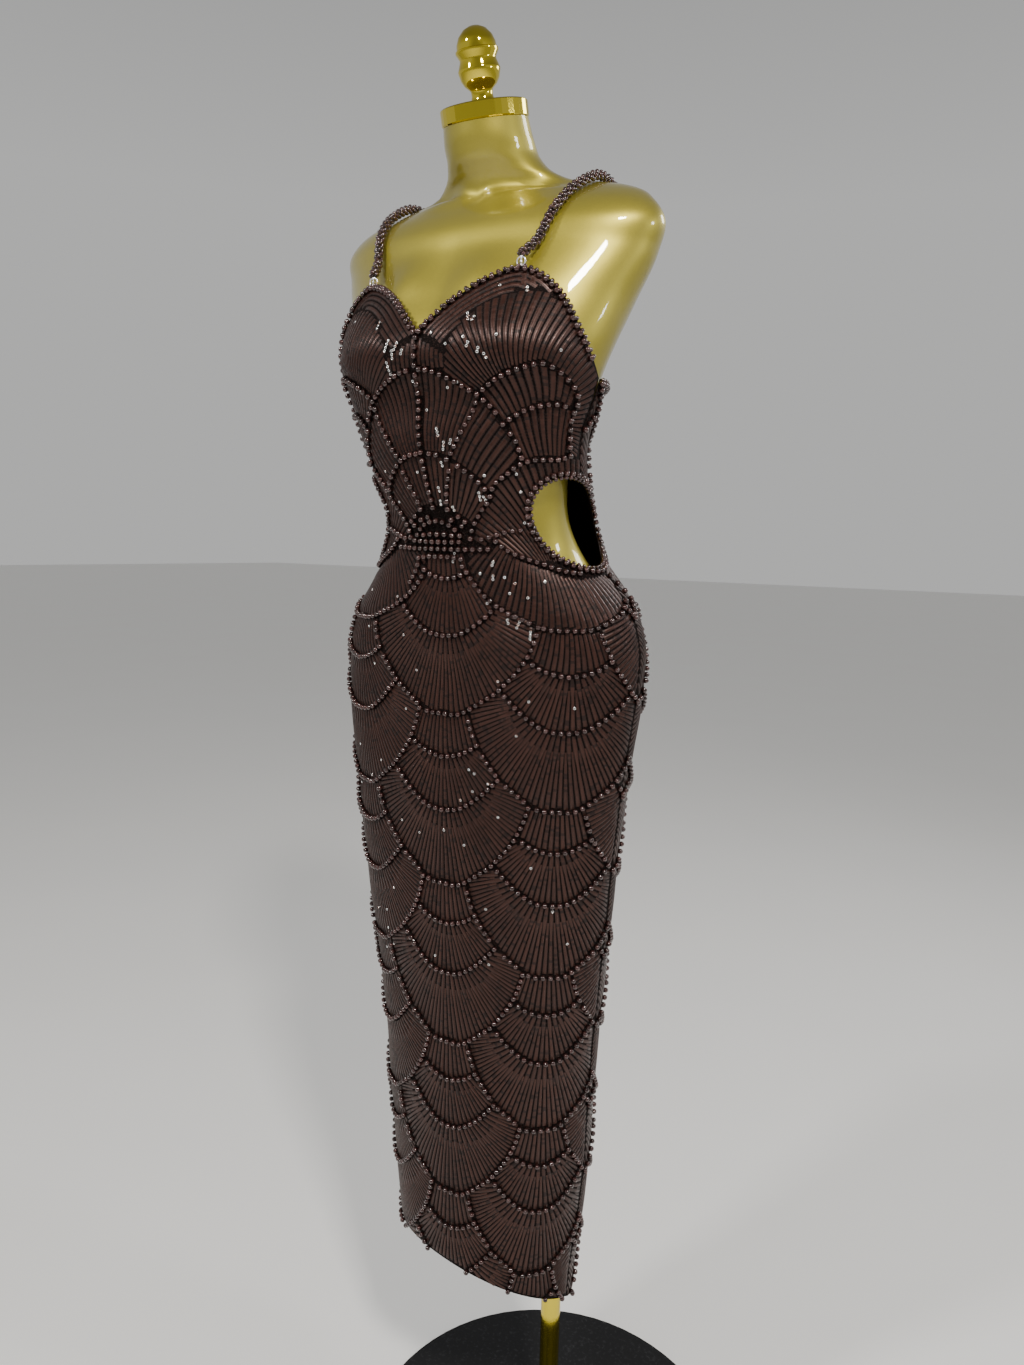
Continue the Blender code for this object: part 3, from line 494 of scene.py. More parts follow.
def sequin_finish(cloth):
    """Overlapping satin sequins in a rib. The UV map holds the rib's number and place across, and sequins along."""
    finish = Finish("sequin_ribs", Metallic=0.45)
    uv = finish.node("ShaderNodeUVMap", {"uv_map": "ribs"})
    split = finish.node("ShaderNodeSeparateXYZ", {}, {0: uv})
    across, along = split, split.part(1)
    share = across.of("FRACT")
    aside = (share - 0.5).of("ABSOLUTE")
    step = along.of("FRACT")
    cell = finish.node("ShaderNodeCombineXYZ", {}, {0: across.of("FLOOR"), 1: along.of("FLOOR"), 2: 0})
    white = finish.node("ShaderNodeTexWhiteNoise", {"noise_dimensions": "3D"}, {"Vector": cell})
    rib = finish.node("ShaderNodeTexWhiteNoise", {"noise_dimensions": "1D"}, {"W": across.of("FLOOR")})
    # The rib's edges take the dark ground's colour, with bead dots along them: partly the real ground cloth and its
    # beads, partly painted shade in the grooves between the ribs.
    groove = aside.ramp(0.25, 0.43)
    dot = (step - 0.5).of("ABSOLUTE").ramp(0.16, 0.42)
    shade = groove * (0.6 + 0.4 * dot)
    # Lighter and darker sequins, ribs and broad patches: partly random tone, partly painted glints on the single
    # sequins that catch the light.
    wide = finish.noise(9, 3)
    light = 0.35 * white + 0.35 * rib + 0.6 * wide - 0.15
    body = finish.mix(light, tint(cloth.satin, 0.62), tint(cloth.satin, 1.45))
    # Painted shade: each sequin darkens towards the ground's colour at the edge where its neighbour lies over it.
    overlap_shade = step.ramp(0.0, 0.22)
    body = finish.mix(0.25 * (1 - overlap_shade), body, tint(cloth.ground, 1.5))
    body = finish.mix(0.7 * white.ramp(0.84, 0.92), body, cloth.ground)
    finish.set(Base_Color=finish.mix(shade, body, cloth.ground))
    finish.set(Roughness=0.3 + 0.16 * white + 0.3 * shade)
    tilt = (white - 0.5) * (share - 0.5) * 0.9
    height = (1 - groove) * 0.7 + 0.3 * step + tilt
    finish.set(Normal=finish.bump(height, 0.0009, 0.75))
    return finish.material


def ground_finish(cloth):
    """The dark cloth between the ribs, close-set with tiny beads."""
    finish = Finish("beaded_ground", Specular_IOR_Level=0.12)
    beads = finish.node(
        "ShaderNodeTexVoronoi", {"feature": "F1"}, {"Vector": finish.place(), "Scale": 420}, "Distance"
    )
    spot = 1 - beads.ramp(0.15, 0.55)
    tone = finish.noise(26, 3)
    finish.set(Base_Color=finish.mix(0.6 * spot * tone, cloth.ground, tint(cloth.satin, 0.8)))
    finish.set(Roughness=0.85 - 0.3 * spot)
    finish.set(Normal=finish.bump(spot, 0.0008, 0.7))
    return finish.material


def pearl_finish(pearls):
    finish = Finish("pearl_gloss", Metallic=0.45, Coat_Weight=1.0, Coat_Roughness=0.03)
    tone = finish.noise(95, 1)
    bloom = finish.noise(700, 2)
    finish.set(Base_Color=finish.mix(tone.ramp(0.35, 0.65), tint(pearls.colour, 0.7), tint(pearls.colour, 1.5)))
    finish.set(Roughness=0.14 + 0.1 * bloom)
    finish.set(Normal=finish.bump(bloom, 0.0001, 0.3))
    return finish.material


def silver_finish():
    finish = Finish("silver_glint", Metallic=1.0)
    tone = finish.noise(260, 1)
    finish.set(Base_Color=finish.mix(tone.ramp(0.55, 0.7), (0.96, 0.96, 0.95), (0.9, 0.6, 0.5)))
    finish.set(Roughness=0.16 + 0.14 * tone)
    return finish.material


def paint_finish(form):
    """Gold paint with fine flakes under a soft gloss."""
    finish = Finish("gold_paint_flake", Metallic=0.8, Coat_Weight=1.0, Coat_Roughness=0.04)
    flake = finish.node(
        "ShaderNodeTexVoronoi", {"feature": "F1"}, {"Vector": finish.place(), "Scale": 1500}, "Color"
    )
    grain = finish.node("ShaderNodeSeparateColor", {}, {0: flake})
    cloud = finish.noise(7, 4)
    colour = finish.mix(cloud, tint(form.paint, 0.9), tint(form.paint, 1.1))
    finish.set(Base_Color=finish.mix(0.18 * grain, colour, tint(form.paint, 1.5)))
    finish.set(Roughness=0.4 + 0.07 * cloud + 0.05 * grain)
    orange_peel = finish.noise(55, 2)
    finish.set(Normal=finish.bump(orange_peel, 0.0006, 0.22))
    return finish.material


def polished_finish(form):
    finish = Finish("gold_polish", Metallic=1.0)
    smear = finish.noise(30, 4)
    finish.set(Base_Color=finish.mix(smear, tint(form.gold, 0.92), tint(form.gold, 1.08)))
    finish.set(Roughness=0.03 + 0.07 * smear)
    finish.set(Normal=finish.bump(finish.noise(900, 2), 0.00004, 0.3))
    return finish.material


def lacquer_finish(form):
    finish = Finish("black_lacquer", Specular_IOR_Level=0.2)
    dust = finish.noise(240, 4)
    finish.set(Base_Color=finish.mix(dust.ramp(0.5, 0.8), form.black, tint(form.black, 2.6)))
    finish.set(Roughness=0.42 + 0.2 * finish.noise(12, 3))
    finish.set(Normal=finish.bump(dust, 0.00005, 0.3))
    return finish.material


# ---------------------------------------------------------------- curves and sections


def between(rows, slopes, low, t, step):
    """Places on smooth curves from each low row to the next, a share t of the step on, by the slopes at both."""
    return (
        rows[low] * (1 + 2 * t) * (1 - t) ** 2
        + rows[low + 1] * t**2 * (3 - 2 * t)
        + step * (slopes[low] * t * (1 - t) ** 2 - slopes[low + 1] * t**2 * (1 - t))
    )


def row_below(stops, places):
    """The row of a table under each place, short of the last row."""
    return np.clip(np.searchsorted(stops, places) - 1, 0, len(stops) - 2)


def unit(vectors):
    return vectors / np.linalg.norm(vectors, axis=1)[:, None]


def rightward(line):
    """Unit steps to the right of a line's course, at each of its points."""
    heading = unit(np.gradient(line, axis=0))
    return np.stack([heading[:, 1], -heading[:, 0]], axis=1)


def table_at(table, height):
    """The table's other columns at each height, on smooth curves through its rows, in metres."""
    rows = np.array(table, float) * MM
    heights = rows[:, 0]
    slopes = np.gradient(rows[:, 1:], heights, axis=0)
    height = np.clip(np.asarray(height, float), heights[0], heights[-1])
    low = row_below(heights, height)
    step = (heights[low + 1] - heights[low])[..., None]
    return between(rows[:, 1:], slopes, low, (height - heights[low])[..., None] / step, step)


def evenly(line, step):
    """A polyline cut into equal lengths, as near to step as they come."""
    along = np.concatenate([[0], np.cumsum(np.linalg.norm(np.diff(line, axis=0), axis=1))])
    stops = np.linspace(0, along[-1], max(2, round(along[-1] / step) + 1))
    return np.stack([np.interp(stops, along, column) for column in line.T], axis=1)


def smooth_row(points, step):
    """Points every step along a smooth curve through a few points in millimetres."""
    points = np.array(points, float) * MM
    along = np.concatenate([[0], np.cumsum(np.hypot(*np.diff(points, axis=0).T))])
    tangents = np.gradient(points, along, axis=0)
    fine = np.linspace(0, along[-1], ROW_POINTS * len(points))
    low = row_below(along, fine)
    span = (along[low + 1] - along[low])[:, None]
    return evenly(between(points, tangents, low, (fine - along[low])[:, None] / span, span), step)


def mirrored(line):
    return line * np.array([-1, 1])


def quarter_table(half_width, depth):
    """Angles from the middle of the front (or back) to the side, and the length of cloth from the middle to each."""
    angles = np.linspace(0, math.pi / 2, QUARTER_STEPS + 1)
    middles = (angles[1:] + angles[:-1]) / 2
    speed = np.hypot(half_width[:, None] * np.cos(middles), depth[:, None] * np.sin(middles))
    lengths = np.concatenate([np.zeros((len(half_width), 1)), np.cumsum(speed * np.diff(angles), axis=1)], axis=1)
    return angles, lengths


def seam_distance(height, facing):
    """Length of cloth from the panel's middle to its side seam. facing is -1 for the front and 1 for the back."""
    half_width, front, back, *_ = table_at(DRESS_SECTIONS, np.atleast_1d(height)).T
    return quarter_table(half_width, front if facing < 0 else back)[1][:, -1]


def angle_table(facing):
    """Angles round a panel for even shares of the way to its seam, at each of the table's heights."""
    half_width, front, back, *_ = table_at(DRESS_SECTIONS, TABLE_HEIGHTS).T
    angles, lengths = quarter_table(half_width, front if facing < 0 else back)
    return np.array([np.interp(TABLE_SHARES * row[-1], row, angles) for row in lengths])


TABLE_HEIGHTS, TABLE_SHARES = np.linspace(TABLE_LOW, TABLE_HIGH, TABLE_ROWS), np.linspace(0, 1, TABLE_COLUMNS)
SEAMS = {facing: seam_distance(TABLE_HEIGHTS, facing) for facing in (-1, 1)}
ANGLES = {facing: angle_table(facing) for facing in (-1, 1)}


def angle_at(across, height, facing):
    """Angle round the panel at each place, from the table."""
    share = np.abs(across) / np.interp(height, TABLE_HEIGHTS, SEAMS[facing]) * (len(TABLE_SHARES) - 1)
    row = (height - TABLE_HEIGHTS[0]) / (TABLE_HEIGHTS[1] - TABLE_HEIGHTS[0])
    row = np.clip(row, 0, len(TABLE_HEIGHTS) - LAST_CELL)
    share = np.clip(share, 0, len(TABLE_SHARES) - LAST_CELL)
    i, j = row.astype(int), share.astype(int)
    u, v = row - i, share - j
    table = ANGLES[facing]
    low = table[i, j] * (1 - v) + table[i, j + 1] * v
    return low * (1 - u) + (table[i + 1, j] * (1 - v) + table[i + 1, j + 1] * v) * u


def column_step(height, facing):
    """Distance between two columns of fans."""
    return COLUMN_SHARE * np.interp(height, TABLE_HEIGHTS, SEAMS[facing])


def cup_rise(x, z, rise, bridge):
    """How far the cups push a face forward. Towards the centre line they fade over the bridge's width."""
    across = np.abs(x) - CUP_X
    across = across / np.where(across < 0, bridge, CUP_SPREAD_X)
    up = (z - CUP_Z) / CUP_SPREAD_Z
    return rise * np.exp(-(across**2 + up**2) / 2)


def dress_surface(across, height, facing):
    """The cloth's outer face at these places along and up a panel."""
    half_width, front, back, centre_y, centre_x = table_at(DRESS_SECTIONS, height).T
    depth = front if facing < 0 else back
    angle = angle_at(across, height, facing)
    x = np.sign(across) * half_width * np.sin(angle)
    y = centre_y + facing * depth * np.cos(angle)
    if facing < 0:
        y = y - cup_rise(x, height, CUP_RISE, CUP_BRIDGE)
    return np.stack([BODY_X + centre_x + x, BODY_Y + y, height], axis=1)


def dress_normals(across, height, facing):
    """Unit normals of the cloth, outwards, from its slopes."""
    inner = np.sign(across) * np.minimum(np.abs(across), seam_distance(height, facing) - 1.5 * MM)
    right = dress_surface(inner + MM, height, facing) - dress_surface(inner - MM, height, facing)
    up = dress_surface(inner, height + MM, facing) - dress_surface(inner, height - MM, facing)
    return unit(np.cross(right, up) * -facing)


def swell(places):
    """Soft unevenness of the worn cloth."""
    across, height = places.T
    wave = np.sin(across * SWELL_ACROSS + height * SWELL_SLANT) * np.sin(height * SWELL_UP + SWELL_START)
    return SWELL * (wave - SWELL_SINK)


def on_cloth(places, facing, lift):
    """Points that stand a lift off the cloth at these places."""
    return dress_surface(*places.T, facing) + (lift + swell(places))[:, None] * dress_normals(*places.T, facing)


# ---------------------------------------------------------------- panel outlines


def hem_height(across, facing):
    """Height of the hem at these places along a panel, before it leans to one side."""
    half_width, front, back, *_ = table_at(DRESS_SECTIONS, np.full(len(across), HEM_Z)).T
    depth = front if facing < 0 else back
    angles, lengths = quarter_table(half_width, depth)
    angle = np.array([np.interp(a, row, angles) for a, row in zip(np.abs(across), lengths)])
    return HEM_Z - facing * HEM_SLOPE * depth * np.cos(angle)


def cutout_line(facing, grow=0.0):
    """The cut-out's edge on one panel, top to bottom, as distance in from the seam and height."""
    wide, high = CUTOUT_HALF_WIDTH + grow, CUTOUT_HALF_HEIGHT + grow
    crossing = math.acos(-CUTOUT_AHEAD / wide)
    turn = np.linspace(crossing, -crossing if facing < 0 else 2 * math.pi - crossing, CUTOUT_POINTS)
    inset = -facing * (CUTOUT_AHEAD + wide * np.cos(turn))
    return np.stack([inset, CUTOUT_Z + high * np.sin(turn)], axis=1)


def from_seam(line, facing):
    """Places given as distance in from the seam and height, as places along and up the panel."""
    return np.stack([seam_distance(line[:, 1], facing) - GAP / 2 - line[:, 0], line[:, 1]], axis=1)


def back_top(across, reach):
    """Height of the back panel's top edge, which dips in the middle."""
    return UNDERARM_Z - BACK_DIP * (1 - (across / reach) ** 2) ** 2


def top_edge(facing):
    """The right half of a panel's top edge."""
    reach = seam_distance(UNDERARM_Z, facing)[0] - GAP / 2
    if facing < 0:
        return np.concatenate([smooth_row(NECKLINE, EDGE_STEP), [[reach, UNDERARM_Z]]])
    across = np.linspace(0, reach, round(reach / EDGE_STEP) + 1)
    return np.stack([across, back_top(across, reach)], axis=1)


def whole_outline(facing):
    """A panel's whole edge, from the middle of its top over the wearer's left side, the hem and the right side."""
    notch = evenly(cutout_line(facing), EDGE_STEP)
    upper = evenly(np.array([[0, UNDERARM_Z], [0, notch[0, 1]]]), CLOTH_STEP)
    lower = evenly(np.array([[0, notch[-1, 1]], [0, HEM_Z]]), CLOTH_STEP)
    side = from_seam(np.concatenate([upper[1:], notch[1:-1], lower]), facing)
    edge = np.concatenate([top_edge(facing), side[:-1]])
    across = np.linspace(side[-1, 0], -side[-1, 0], 2 * round(side[-1, 0] / EDGE_STEP) + 1)
    hem = np.stack([across, hem_height(across, facing)], axis=1)
    hem[:, 1] += HEM_LEAN * (dress_surface(*hem.T, facing)[:, 0] - BODY_X)
    ends = [0, -1]
    hem[ends, 0] = (seam_distance(hem[ends, 1], facing) - GAP / 2) * [1, -1]
    left, right = (side_above(edge, hem[end, 1]) for end in ends)
    return np.concatenate([left, hem, mirrored(right[1:])[::-1]])


def side_above(edge, hem_end):
    """A half edge without the points of its seam that lie under the hem's end."""
    seam = (edge[:, 1] > hem_end + EDGE_STEP) | (edge[:, 1] > CUTOUT_Z)
    return edge[seam]


def inside(points, outline):
    """Whether each point lies inside a closed outline."""
    x, y = points[:, 0][:, None], points[:, 1][:, None]
    ax, ay = outline.T
    bx, by = np.roll(outline, -1, axis=0).T
    crosses = (ay > y) != (by > y)
    run = np.where(by == ay, 1, by - ay)
    return (crosses & (x < ax + (y - ay) * (bx - ax) / run)).sum(axis=1) % 2 == 1


def distance_to(points, line):
    """Distance from each point to the nearest corner of a closed outline of short sides."""
    return np.sqrt(((points[:, None] - line[None]) ** 2).sum(axis=2)).min(axis=1)


# ---------------------------------------------------------------- fans of the skirt


def arc_curve(arc):
    """A smooth curve through an arc's table: shares, and heights in metres."""
    shares, heights = np.array(arc, float).T
    slopes = np.gradient(heights, shares)
    fine = np.linspace(0, shares[-1], ARC_CURVE_POINTS)
    low = row_below(shares, fine)
    span = shares[low + 1] - shares[low]
    return fine, between(heights, slopes, low, (fine - shares[low]) / span, span) * MM


ARC_LINES = {arc: arc_curve(arc) for arc in (LARGE_ARC, MEDIUM_ARC, SMALL_ARC)}


def arc_rise(arc, share):
    """Height of an arc above its bottom, endless past its last point."""
    rise = np.interp(share, *ARC_LINES[arc])
    return np.where(share > arc[-1][0], np.inf, rise)


def fan_middle(column, height, facing):
    shift = COLUMN_SHIFT if facing < 0 else 0
    return shift + column * column_step(height, facing)


def lowest_bottom(column):
    """One of the column's fan bottoms. The others are whole rows above and below it."""
    return FAN_CEILING if column % 2 else FAN_FLOOR


def flattened(bottom, facing):
    """The first arcs under the waist are flatter than the others."""
    return np.where((bottom > FIRST_ARC_Z) & (facing < 0), FIRST_ARC_FLATNESS, 1.0)


def owners(places, facing):
    """The fan that shows at each place, as its column and the height of its bottom."""
    across, height = places.T
    best = np.full(len(places), -np.inf)
    owner = np.zeros(len(places), int)
    step = column_step(height, facing)
    for column in range(-COLUMNS_EACH_SIDE - 1, COLUMNS_EACH_SIDE + 2):
        share = np.abs(across - fan_middle(column, height, facing)) / step
        rise = arc_rise(LARGE_ARC, share)
        first = lowest_bottom(column)
        for number in range(-ROWS_ABOVE, ROWS_BELOW + 1):
            bottom = first - number * ROW
            floor = bottom + rise * flattened(bottom, facing)
            better = (height >= floor) & (bottom > best)
            best = np.where(better, bottom, best)
            owner = np.where(better, column, owner)
    return owner, best


def band_of(places, facing, column, bottom):
    """Whether a place of a fan lies in its small (0), medium (1) or large (2) band."""
    across, height = places.T
    share = np.abs(across - fan_middle(column, height, facing)) / column_step(height, facing)
    top = bottom + ROW
    small = height > top - SMALL_DROP + arc_rise(SMALL_ARC, share)
    medium = height > top - MEDIUM_DROP + arc_rise(MEDIUM_ARC, share)
    return np.where(small, 0, np.where(medium, 1, 2))


def fans(facing, outline):
    """Column and bottom of every fan that may show on a panel."""
    low, high = outline[:, 1].min(), outline[:, 1].max()
    for column in range(-COLUMNS_EACH_SIDE, COLUMNS_EACH_SIDE + 1):
        bottom = lowest_bottom(column) + ROWS_ABOVE * ROW
        while bottom + ROW > low:
            if bottom < high:
                yield column, bottom
            bottom -= ROW


def arc_line(arc, flatness, drop, column, bottom, facing):
    """An arc of a fan as places on the panel."""
    share = np.linspace(-arc[-1][0], arc[-1][0], ARC_LINE_POINTS) * ARC_REACH
    height = bottom + drop + arc_rise(arc, np.abs(share)) * flatness
    return np.stack([fan_middle(column, height, facing) + share * column_step(height, facing), height], axis=1)


def stretches(line, keep, shortest):
    """The runs of a line whose points are kept."""
    edges = np.flatnonzero(np.diff(np.concatenate([[0], keep.astype(int), [0]])))
    return [line[start:end] for start, end in zip(edges[::2], edges[1::2]) if end - start >= shortest]


def waist_height(across):
    """Height on the front where the skirt's fans begin."""
    lower = np.array(BODICE_ROWS["waist_lower"] + BODICE_ROWS["under_cutout"]).T * MM
    return np.interp(np.abs(across), *lower)


def skirt_shows(places, facing):
    if facing > 0:
        return np.ones(len(places), bool)
    return places[:, 1] < waist_height(places[:, 0]) - WAIST_CLEAR


def skirt_rows(facing, outline):
    """The rows of pearls that edge the fans' bands."""
    rows = []
    for column, bottom in fans(facing, outline):
        flatness = float(flattened(bottom, facing))
        large = evenly(arc_line(LARGE_ARC, flatness, 0, column, bottom, facing), LINE_STEP)
        _, best = owners(large - [0, ROW_CLEAR], facing)
        rows += stretches(large, skirt_shows(large, facing) & (best < bottom), ROW_SHORTEST)
        for arc, drop in ((MEDIUM_ARC, ROW - MEDIUM_DROP), (SMALL_ARC, ROW - SMALL_DROP)):
            line = evenly(arc_line(arc, 1, drop, column, bottom, facing), LINE_STEP)
            owner, best = owners(line, facing)
            shown = skirt_shows(line, facing) & (owner == column) & (np.abs(best - bottom) < MM)
            rows += stretches(line, shown, ROW_SHORTEST)
    return rows


def paired(pitch):
    """How far a rib takes its neighbour's room, where the ribs run close together."""
    share = np.clip((PAIR_NONE - pitch) / (PAIR_NONE - PAIR_FULL), 0, 1)
    return share * share * (3 - 2 * share)


def skirt_ribs(facing, outline, period):
    """Lines of the ribs that fill the fans' bands, each with its width at every point."""
    ribs = []
    low, side = outline[:, 1].min(), outline[:, 0].max()
    for column, bottom in fans(facing, outline):
        top = bottom + ROW
        for band in range(3):
            turn = period / BAND_RADIUS[band]
            count = int(math.radians(BAND_REACH[band]) / turn)
            angle = ((np.arange(-count, count) + 0.5) * turn)[:, None]
            reach = np.arange(LINE_STEP, FAN_RIB_REACH, LINE_STEP)[None] + 0 * angle
            height = top + BAND_APEX[band] - reach * np.cos(angle)
            across = fan_middle(column, height, facing) + reach * np.sin(angle)
            pitch = reach * turn / period
            even = np.arange(2 * count)[:, None] % 2 == 0
            width = period * np.minimum(np.where(even, pitch * (1 + paired(pitch)), pitch), RIB_WIDEST)
            lines = np.stack([across, height, width], axis=2)
            near = (height < top + FAN_OVER) & (height > bottom - FAN_UNDER) & (reach * turn > RIB_NARROWEST)
            near &= (even | (pitch > PAIR_FULL)) & (height > low) & (np.abs(across) < side)
            flat = lines[near][:, :2]
            if not len(flat):
                continue
            owner, best = owners(flat, facing)
            shown = (owner == column) & (np.abs(best - bottom) < MM) & skirt_shows(flat, facing)
            near[near] = shown & (band_of(flat, facing, column, bottom) == band)
            for line, keep in zip(lines, near):
                ribs += stretches(line, keep, RIB_SHORTEST)
    return ribs


# ---------------------------------------------------------------- bodice


def swayed(line, facing):
    """A line of the bodice moved to its swaying middle."""
    if facing > 0:
        return line
    shift = np.interp(line[:, 1], *np.array(BODICE_SWAY).T * MM)
    share = np.clip((SWAY_NONE - np.abs(line[:, 0])) / (SWAY_NONE - SWAY_FULL), 0, 1)
    moved = line.copy()
    moved[:, 0] += shift * share
    return moved


def row_line(name):
    return smooth_row(BODICE_ROWS[name], LINE_STEP)


def bodice_regions():
    """Outlines of the parts of the bodice's right half, each filled with its own ribs."""
    under, rib, arch = row_line("under_bust"), row_line("centre_rib"), row_line("waist_arch")
    slant, base, fan = row_line("slant"), row_line("side_base"), row_line("side_fan")
    arc, side, rosette = row_line("side_arc"), row_line("fan_side"), row_line("rosette")
    edge, neck = smooth_row(CUP_EDGE, LINE_STEP), smooth_row(NECKLINE, LINE_STEP)
    far = np.array([[FAR_SIDE, FAR_HIGH], [FAR_SIDE, FAR_LOW]]) * MM
    slant_low = slant[slant[:, 1] < arc[0, 1]]
    slant_high = slant[slant[:, 1] > arc[0, 1]]
    base_inner = base[base[:, 0] < slant[-1, 0]]
    base_outer = base[base[:, 0] > slant[-1, 0]]
    arch_outer = arch[arch[:, 0] > rib[-1, 0]]
    arch_inner = arch[arch[:, 0] <= rib[-1, 0]]
    corner = np.array([[0, arch[0, 1]], [0, under[0, 1]]])
    waist = np.array(WAIST_CORNERS) * MM
    return {
        "under_cups": np.concatenate([under, rib, arch_inner[::-1], corner]),
        "slanted": np.concatenate([slant, base_inner[::-1], arch_outer[::-1], rib[::-1]]),
        "side_fan": np.concatenate([fan[fan[:, 1] > arc[-1, 1]], arc[::-1], slant_high[::-1]]),
        "side_small": np.concatenate([arc, fan[fan[:, 1] < arc[-1, 1]], base_outer[::-1], slant_low[::-1]]),
        "waist_fan": np.concatenate([arch, side[side[:, 1] > rosette[-1, 1]], rosette[::-1]]),
        "waist_side": np.concatenate([base, waist, side[::-1]]),
        "cup": np.concatenate([edge, neck[neck[:, 0] > edge[-1, 0]], far, fan[::-1], under[::-1]]),
    }


def region_at(places, regions):
    """The number of the first region that holds each place of the right half.

    The flank's number comes after the last region's, and -1 stands for the neckline's band and the rosette.
    """
    across, height = places.T
    found = np.full(len(places), len(regions))
    found[(across < YOKE_REACH) & (height > YOKE_FLOOR)] = -1
    for number, outline in reversed(list(enumerate(regions.values()))):
        found[inside(places, outline)] = number
    found[(height < ROSETTE_TOP) & (across < ROSETTE_REACH) & (found == len(regions))] = -1
    return found


def bodice_ribs(period):
    """Lines of the ribs on the bodice, both halves."""
    regions = bodice_regions()
    ribs = []
    for number, name in enumerate([*regions, "flank"]):
        (apex_across, apex_height), radius = REGION_RIBS[name]
        turn = period / (radius * MM)
        angle = np.arange(-math.pi, math.pi, turn)[:, None]
        reach = np.arange(BODICE_START, BODICE_REACH, LINE_STEP)[None] + 0 * angle
        across = apex_across * MM + reach * np.sin(angle)
        height = apex_height * MM + reach * np.cos(angle)
        width = np.minimum(reach * turn, period * RIB_WIDEST)
        lines = np.stack([across, height, width], axis=2)
        near = (across > MIDDLE_CLEAR * period) & (across < BODICE_WIDE) & (height > BODICE_LOW)
        near &= (height < BODICE_HIGH) & (reach * turn > RIB_NARROWEST)
        flat = lines[near][:, :2]
        near[near] = (region_at(flat, regions) == number) & (flat[:, 1] > waist_height(flat[:, 0]) + MM)
        for line, keep in zip(lines, near):
            for rib in stretches(line, keep, RIB_SHORTEST):
                ribs += both_sides(rib)
    return ribs + yoke_ribs(period)


def both_sides(rib):
    """A rib of the right half and its mirror image, both swayed with the middle."""
    other = rib * np.array([-1, 1, 1])
    return [np.column_stack([swayed(half[:, :2], -1), half[:, 2]]) for half in (rib, other)]


def yoke_ribs(period):
    """The fine ribs that follow the neckline, down to the cup's edge."""
    neck, edge = smooth_row(NECKLINE, LINE_STEP), smooth_row(CUP_EDGE, LINE_STEP)
    inward = rightward(neck)
    low = np.array(YOKE_LOW) * MM
    neck_near = neck[neck[:, 0] < edge[-1, 0]]
    region = np.concatenate([neck_near, edge[::-1], low[::-1]])
    ribs = []
    fine = YOKE_PERIOD * period
    for number in range(YOKE_RIBS):
        line = neck + inward * (EDGE_ROW_CLEAR + number * fine)
        shown = inside(line, region) & (line[:, 1] > neck[0, 1] - YOKE_SLOPE * line[:, 0])
        for rib in stretches(np.column_stack([line, np.full(len(line), fine)]), shown, ROW_SHORTEST):
            ribs += both_sides(rib)
    for across in np.arange(YOKE_FIRST * fine, edge[:, 0].max() / 2, fine):
        height = np.arange(low[-1, 1] + MM, neck[0, 1] - YOKE_SLOPE * across - LINE_STEP, LINE_STEP)
        line = np.column_stack([np.full(len(height), across), height, np.full(len(height), fine)])
        for rib in stretches(line, inside(line[:, :2], region), RIB_SHORTEST):
            ribs += both_sides(rib)
    return ribs


def bodice_rows():
    """The bodice's rows of pearls. Those that start at the middle line go on to the other side."""
    rows = []
    for points in BODICE_ROWS.values():
        half = smooth_row(points, LINE_STEP) if len(points) > 2 else evenly(np.array(points) * MM, LINE_STEP)
        whole = [half] if points[-1][0] == 0 else [half, mirrored(half)]
        if points[0][0] == 0 and points[-1][0] != 0:
            whole = [np.concatenate([mirrored(half[1:])[::-1], half])]
        rows += [swayed(row, -1) for row in whole]
    return rows


def edge_rows(facing, inset, cutout_inset):
    """Rows that follow the neckline, or the back's top edge, and the cut-outs."""
    if facing < 0:
        line = smooth_row(NECKLINE, NECK_ROW_STEP)
        half = line + inset * rightward(line)
        half = half[half[:, 0] > 0]
        top = np.concatenate([mirrored(half)[::-1], half])
    else:
        reach = seam_distance(UNDERARM_Z, facing)[0]
        across = np.linspace(-reach, reach, BACK_ROW_POINTS)
        top = np.stack([across, back_top(across, reach) - inset], axis=1)
    ring = from_seam(cutout_line(facing, cutout_inset), facing)
    return [top, ring, mirrored(ring)]


# ---------------------------------------------------------------- meshes


def mesh_object(name, points, faces, finish):
    """A smooth-shaded piece that rides with the model's one body."""
    data = bpy.data.meshes.new(name)
    data.from_pydata([tuple(point) for point in points], [], faces)
    data.validate()
    data.shade_smooth()
    data.materials.append(finish)
    thing = bpy.data.objects.new(name, data)
    bpy.context.scene.collection.objects.link(thing)
    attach(thing, "root")
    return thing


def boundary_loop(faces):
    """The outer edge of some triangles, as vertex numbers in order."""
    following = {(start, end) for face in faces for start, end in zip(face, face[1:] + face[:1])}
    onward = {start: end for start, end in following if (end, start) not in following}
    loop = [next(iter(onward))]
    while onward[loop[-1]] != loop[0]:
        loop.append(onward[loop[-1]])
    return loop


def panel_points(outline):
    """A grid of places inside an outline."""
    low, high = outline.min(axis=0), outline.max(axis=0)
    grid = np.stack(np.meshgrid(np.arange(low[0], high[0], CLOTH_STEP), np.arange(low[1], high[1], CLOTH_STEP)), -1)
    grid = grid.reshape(-1, 2)
    grid = grid[inside(grid, outline)]
    return grid[distance_to(grid, outline) > GRID_CLEAR * CLOTH_STEP]


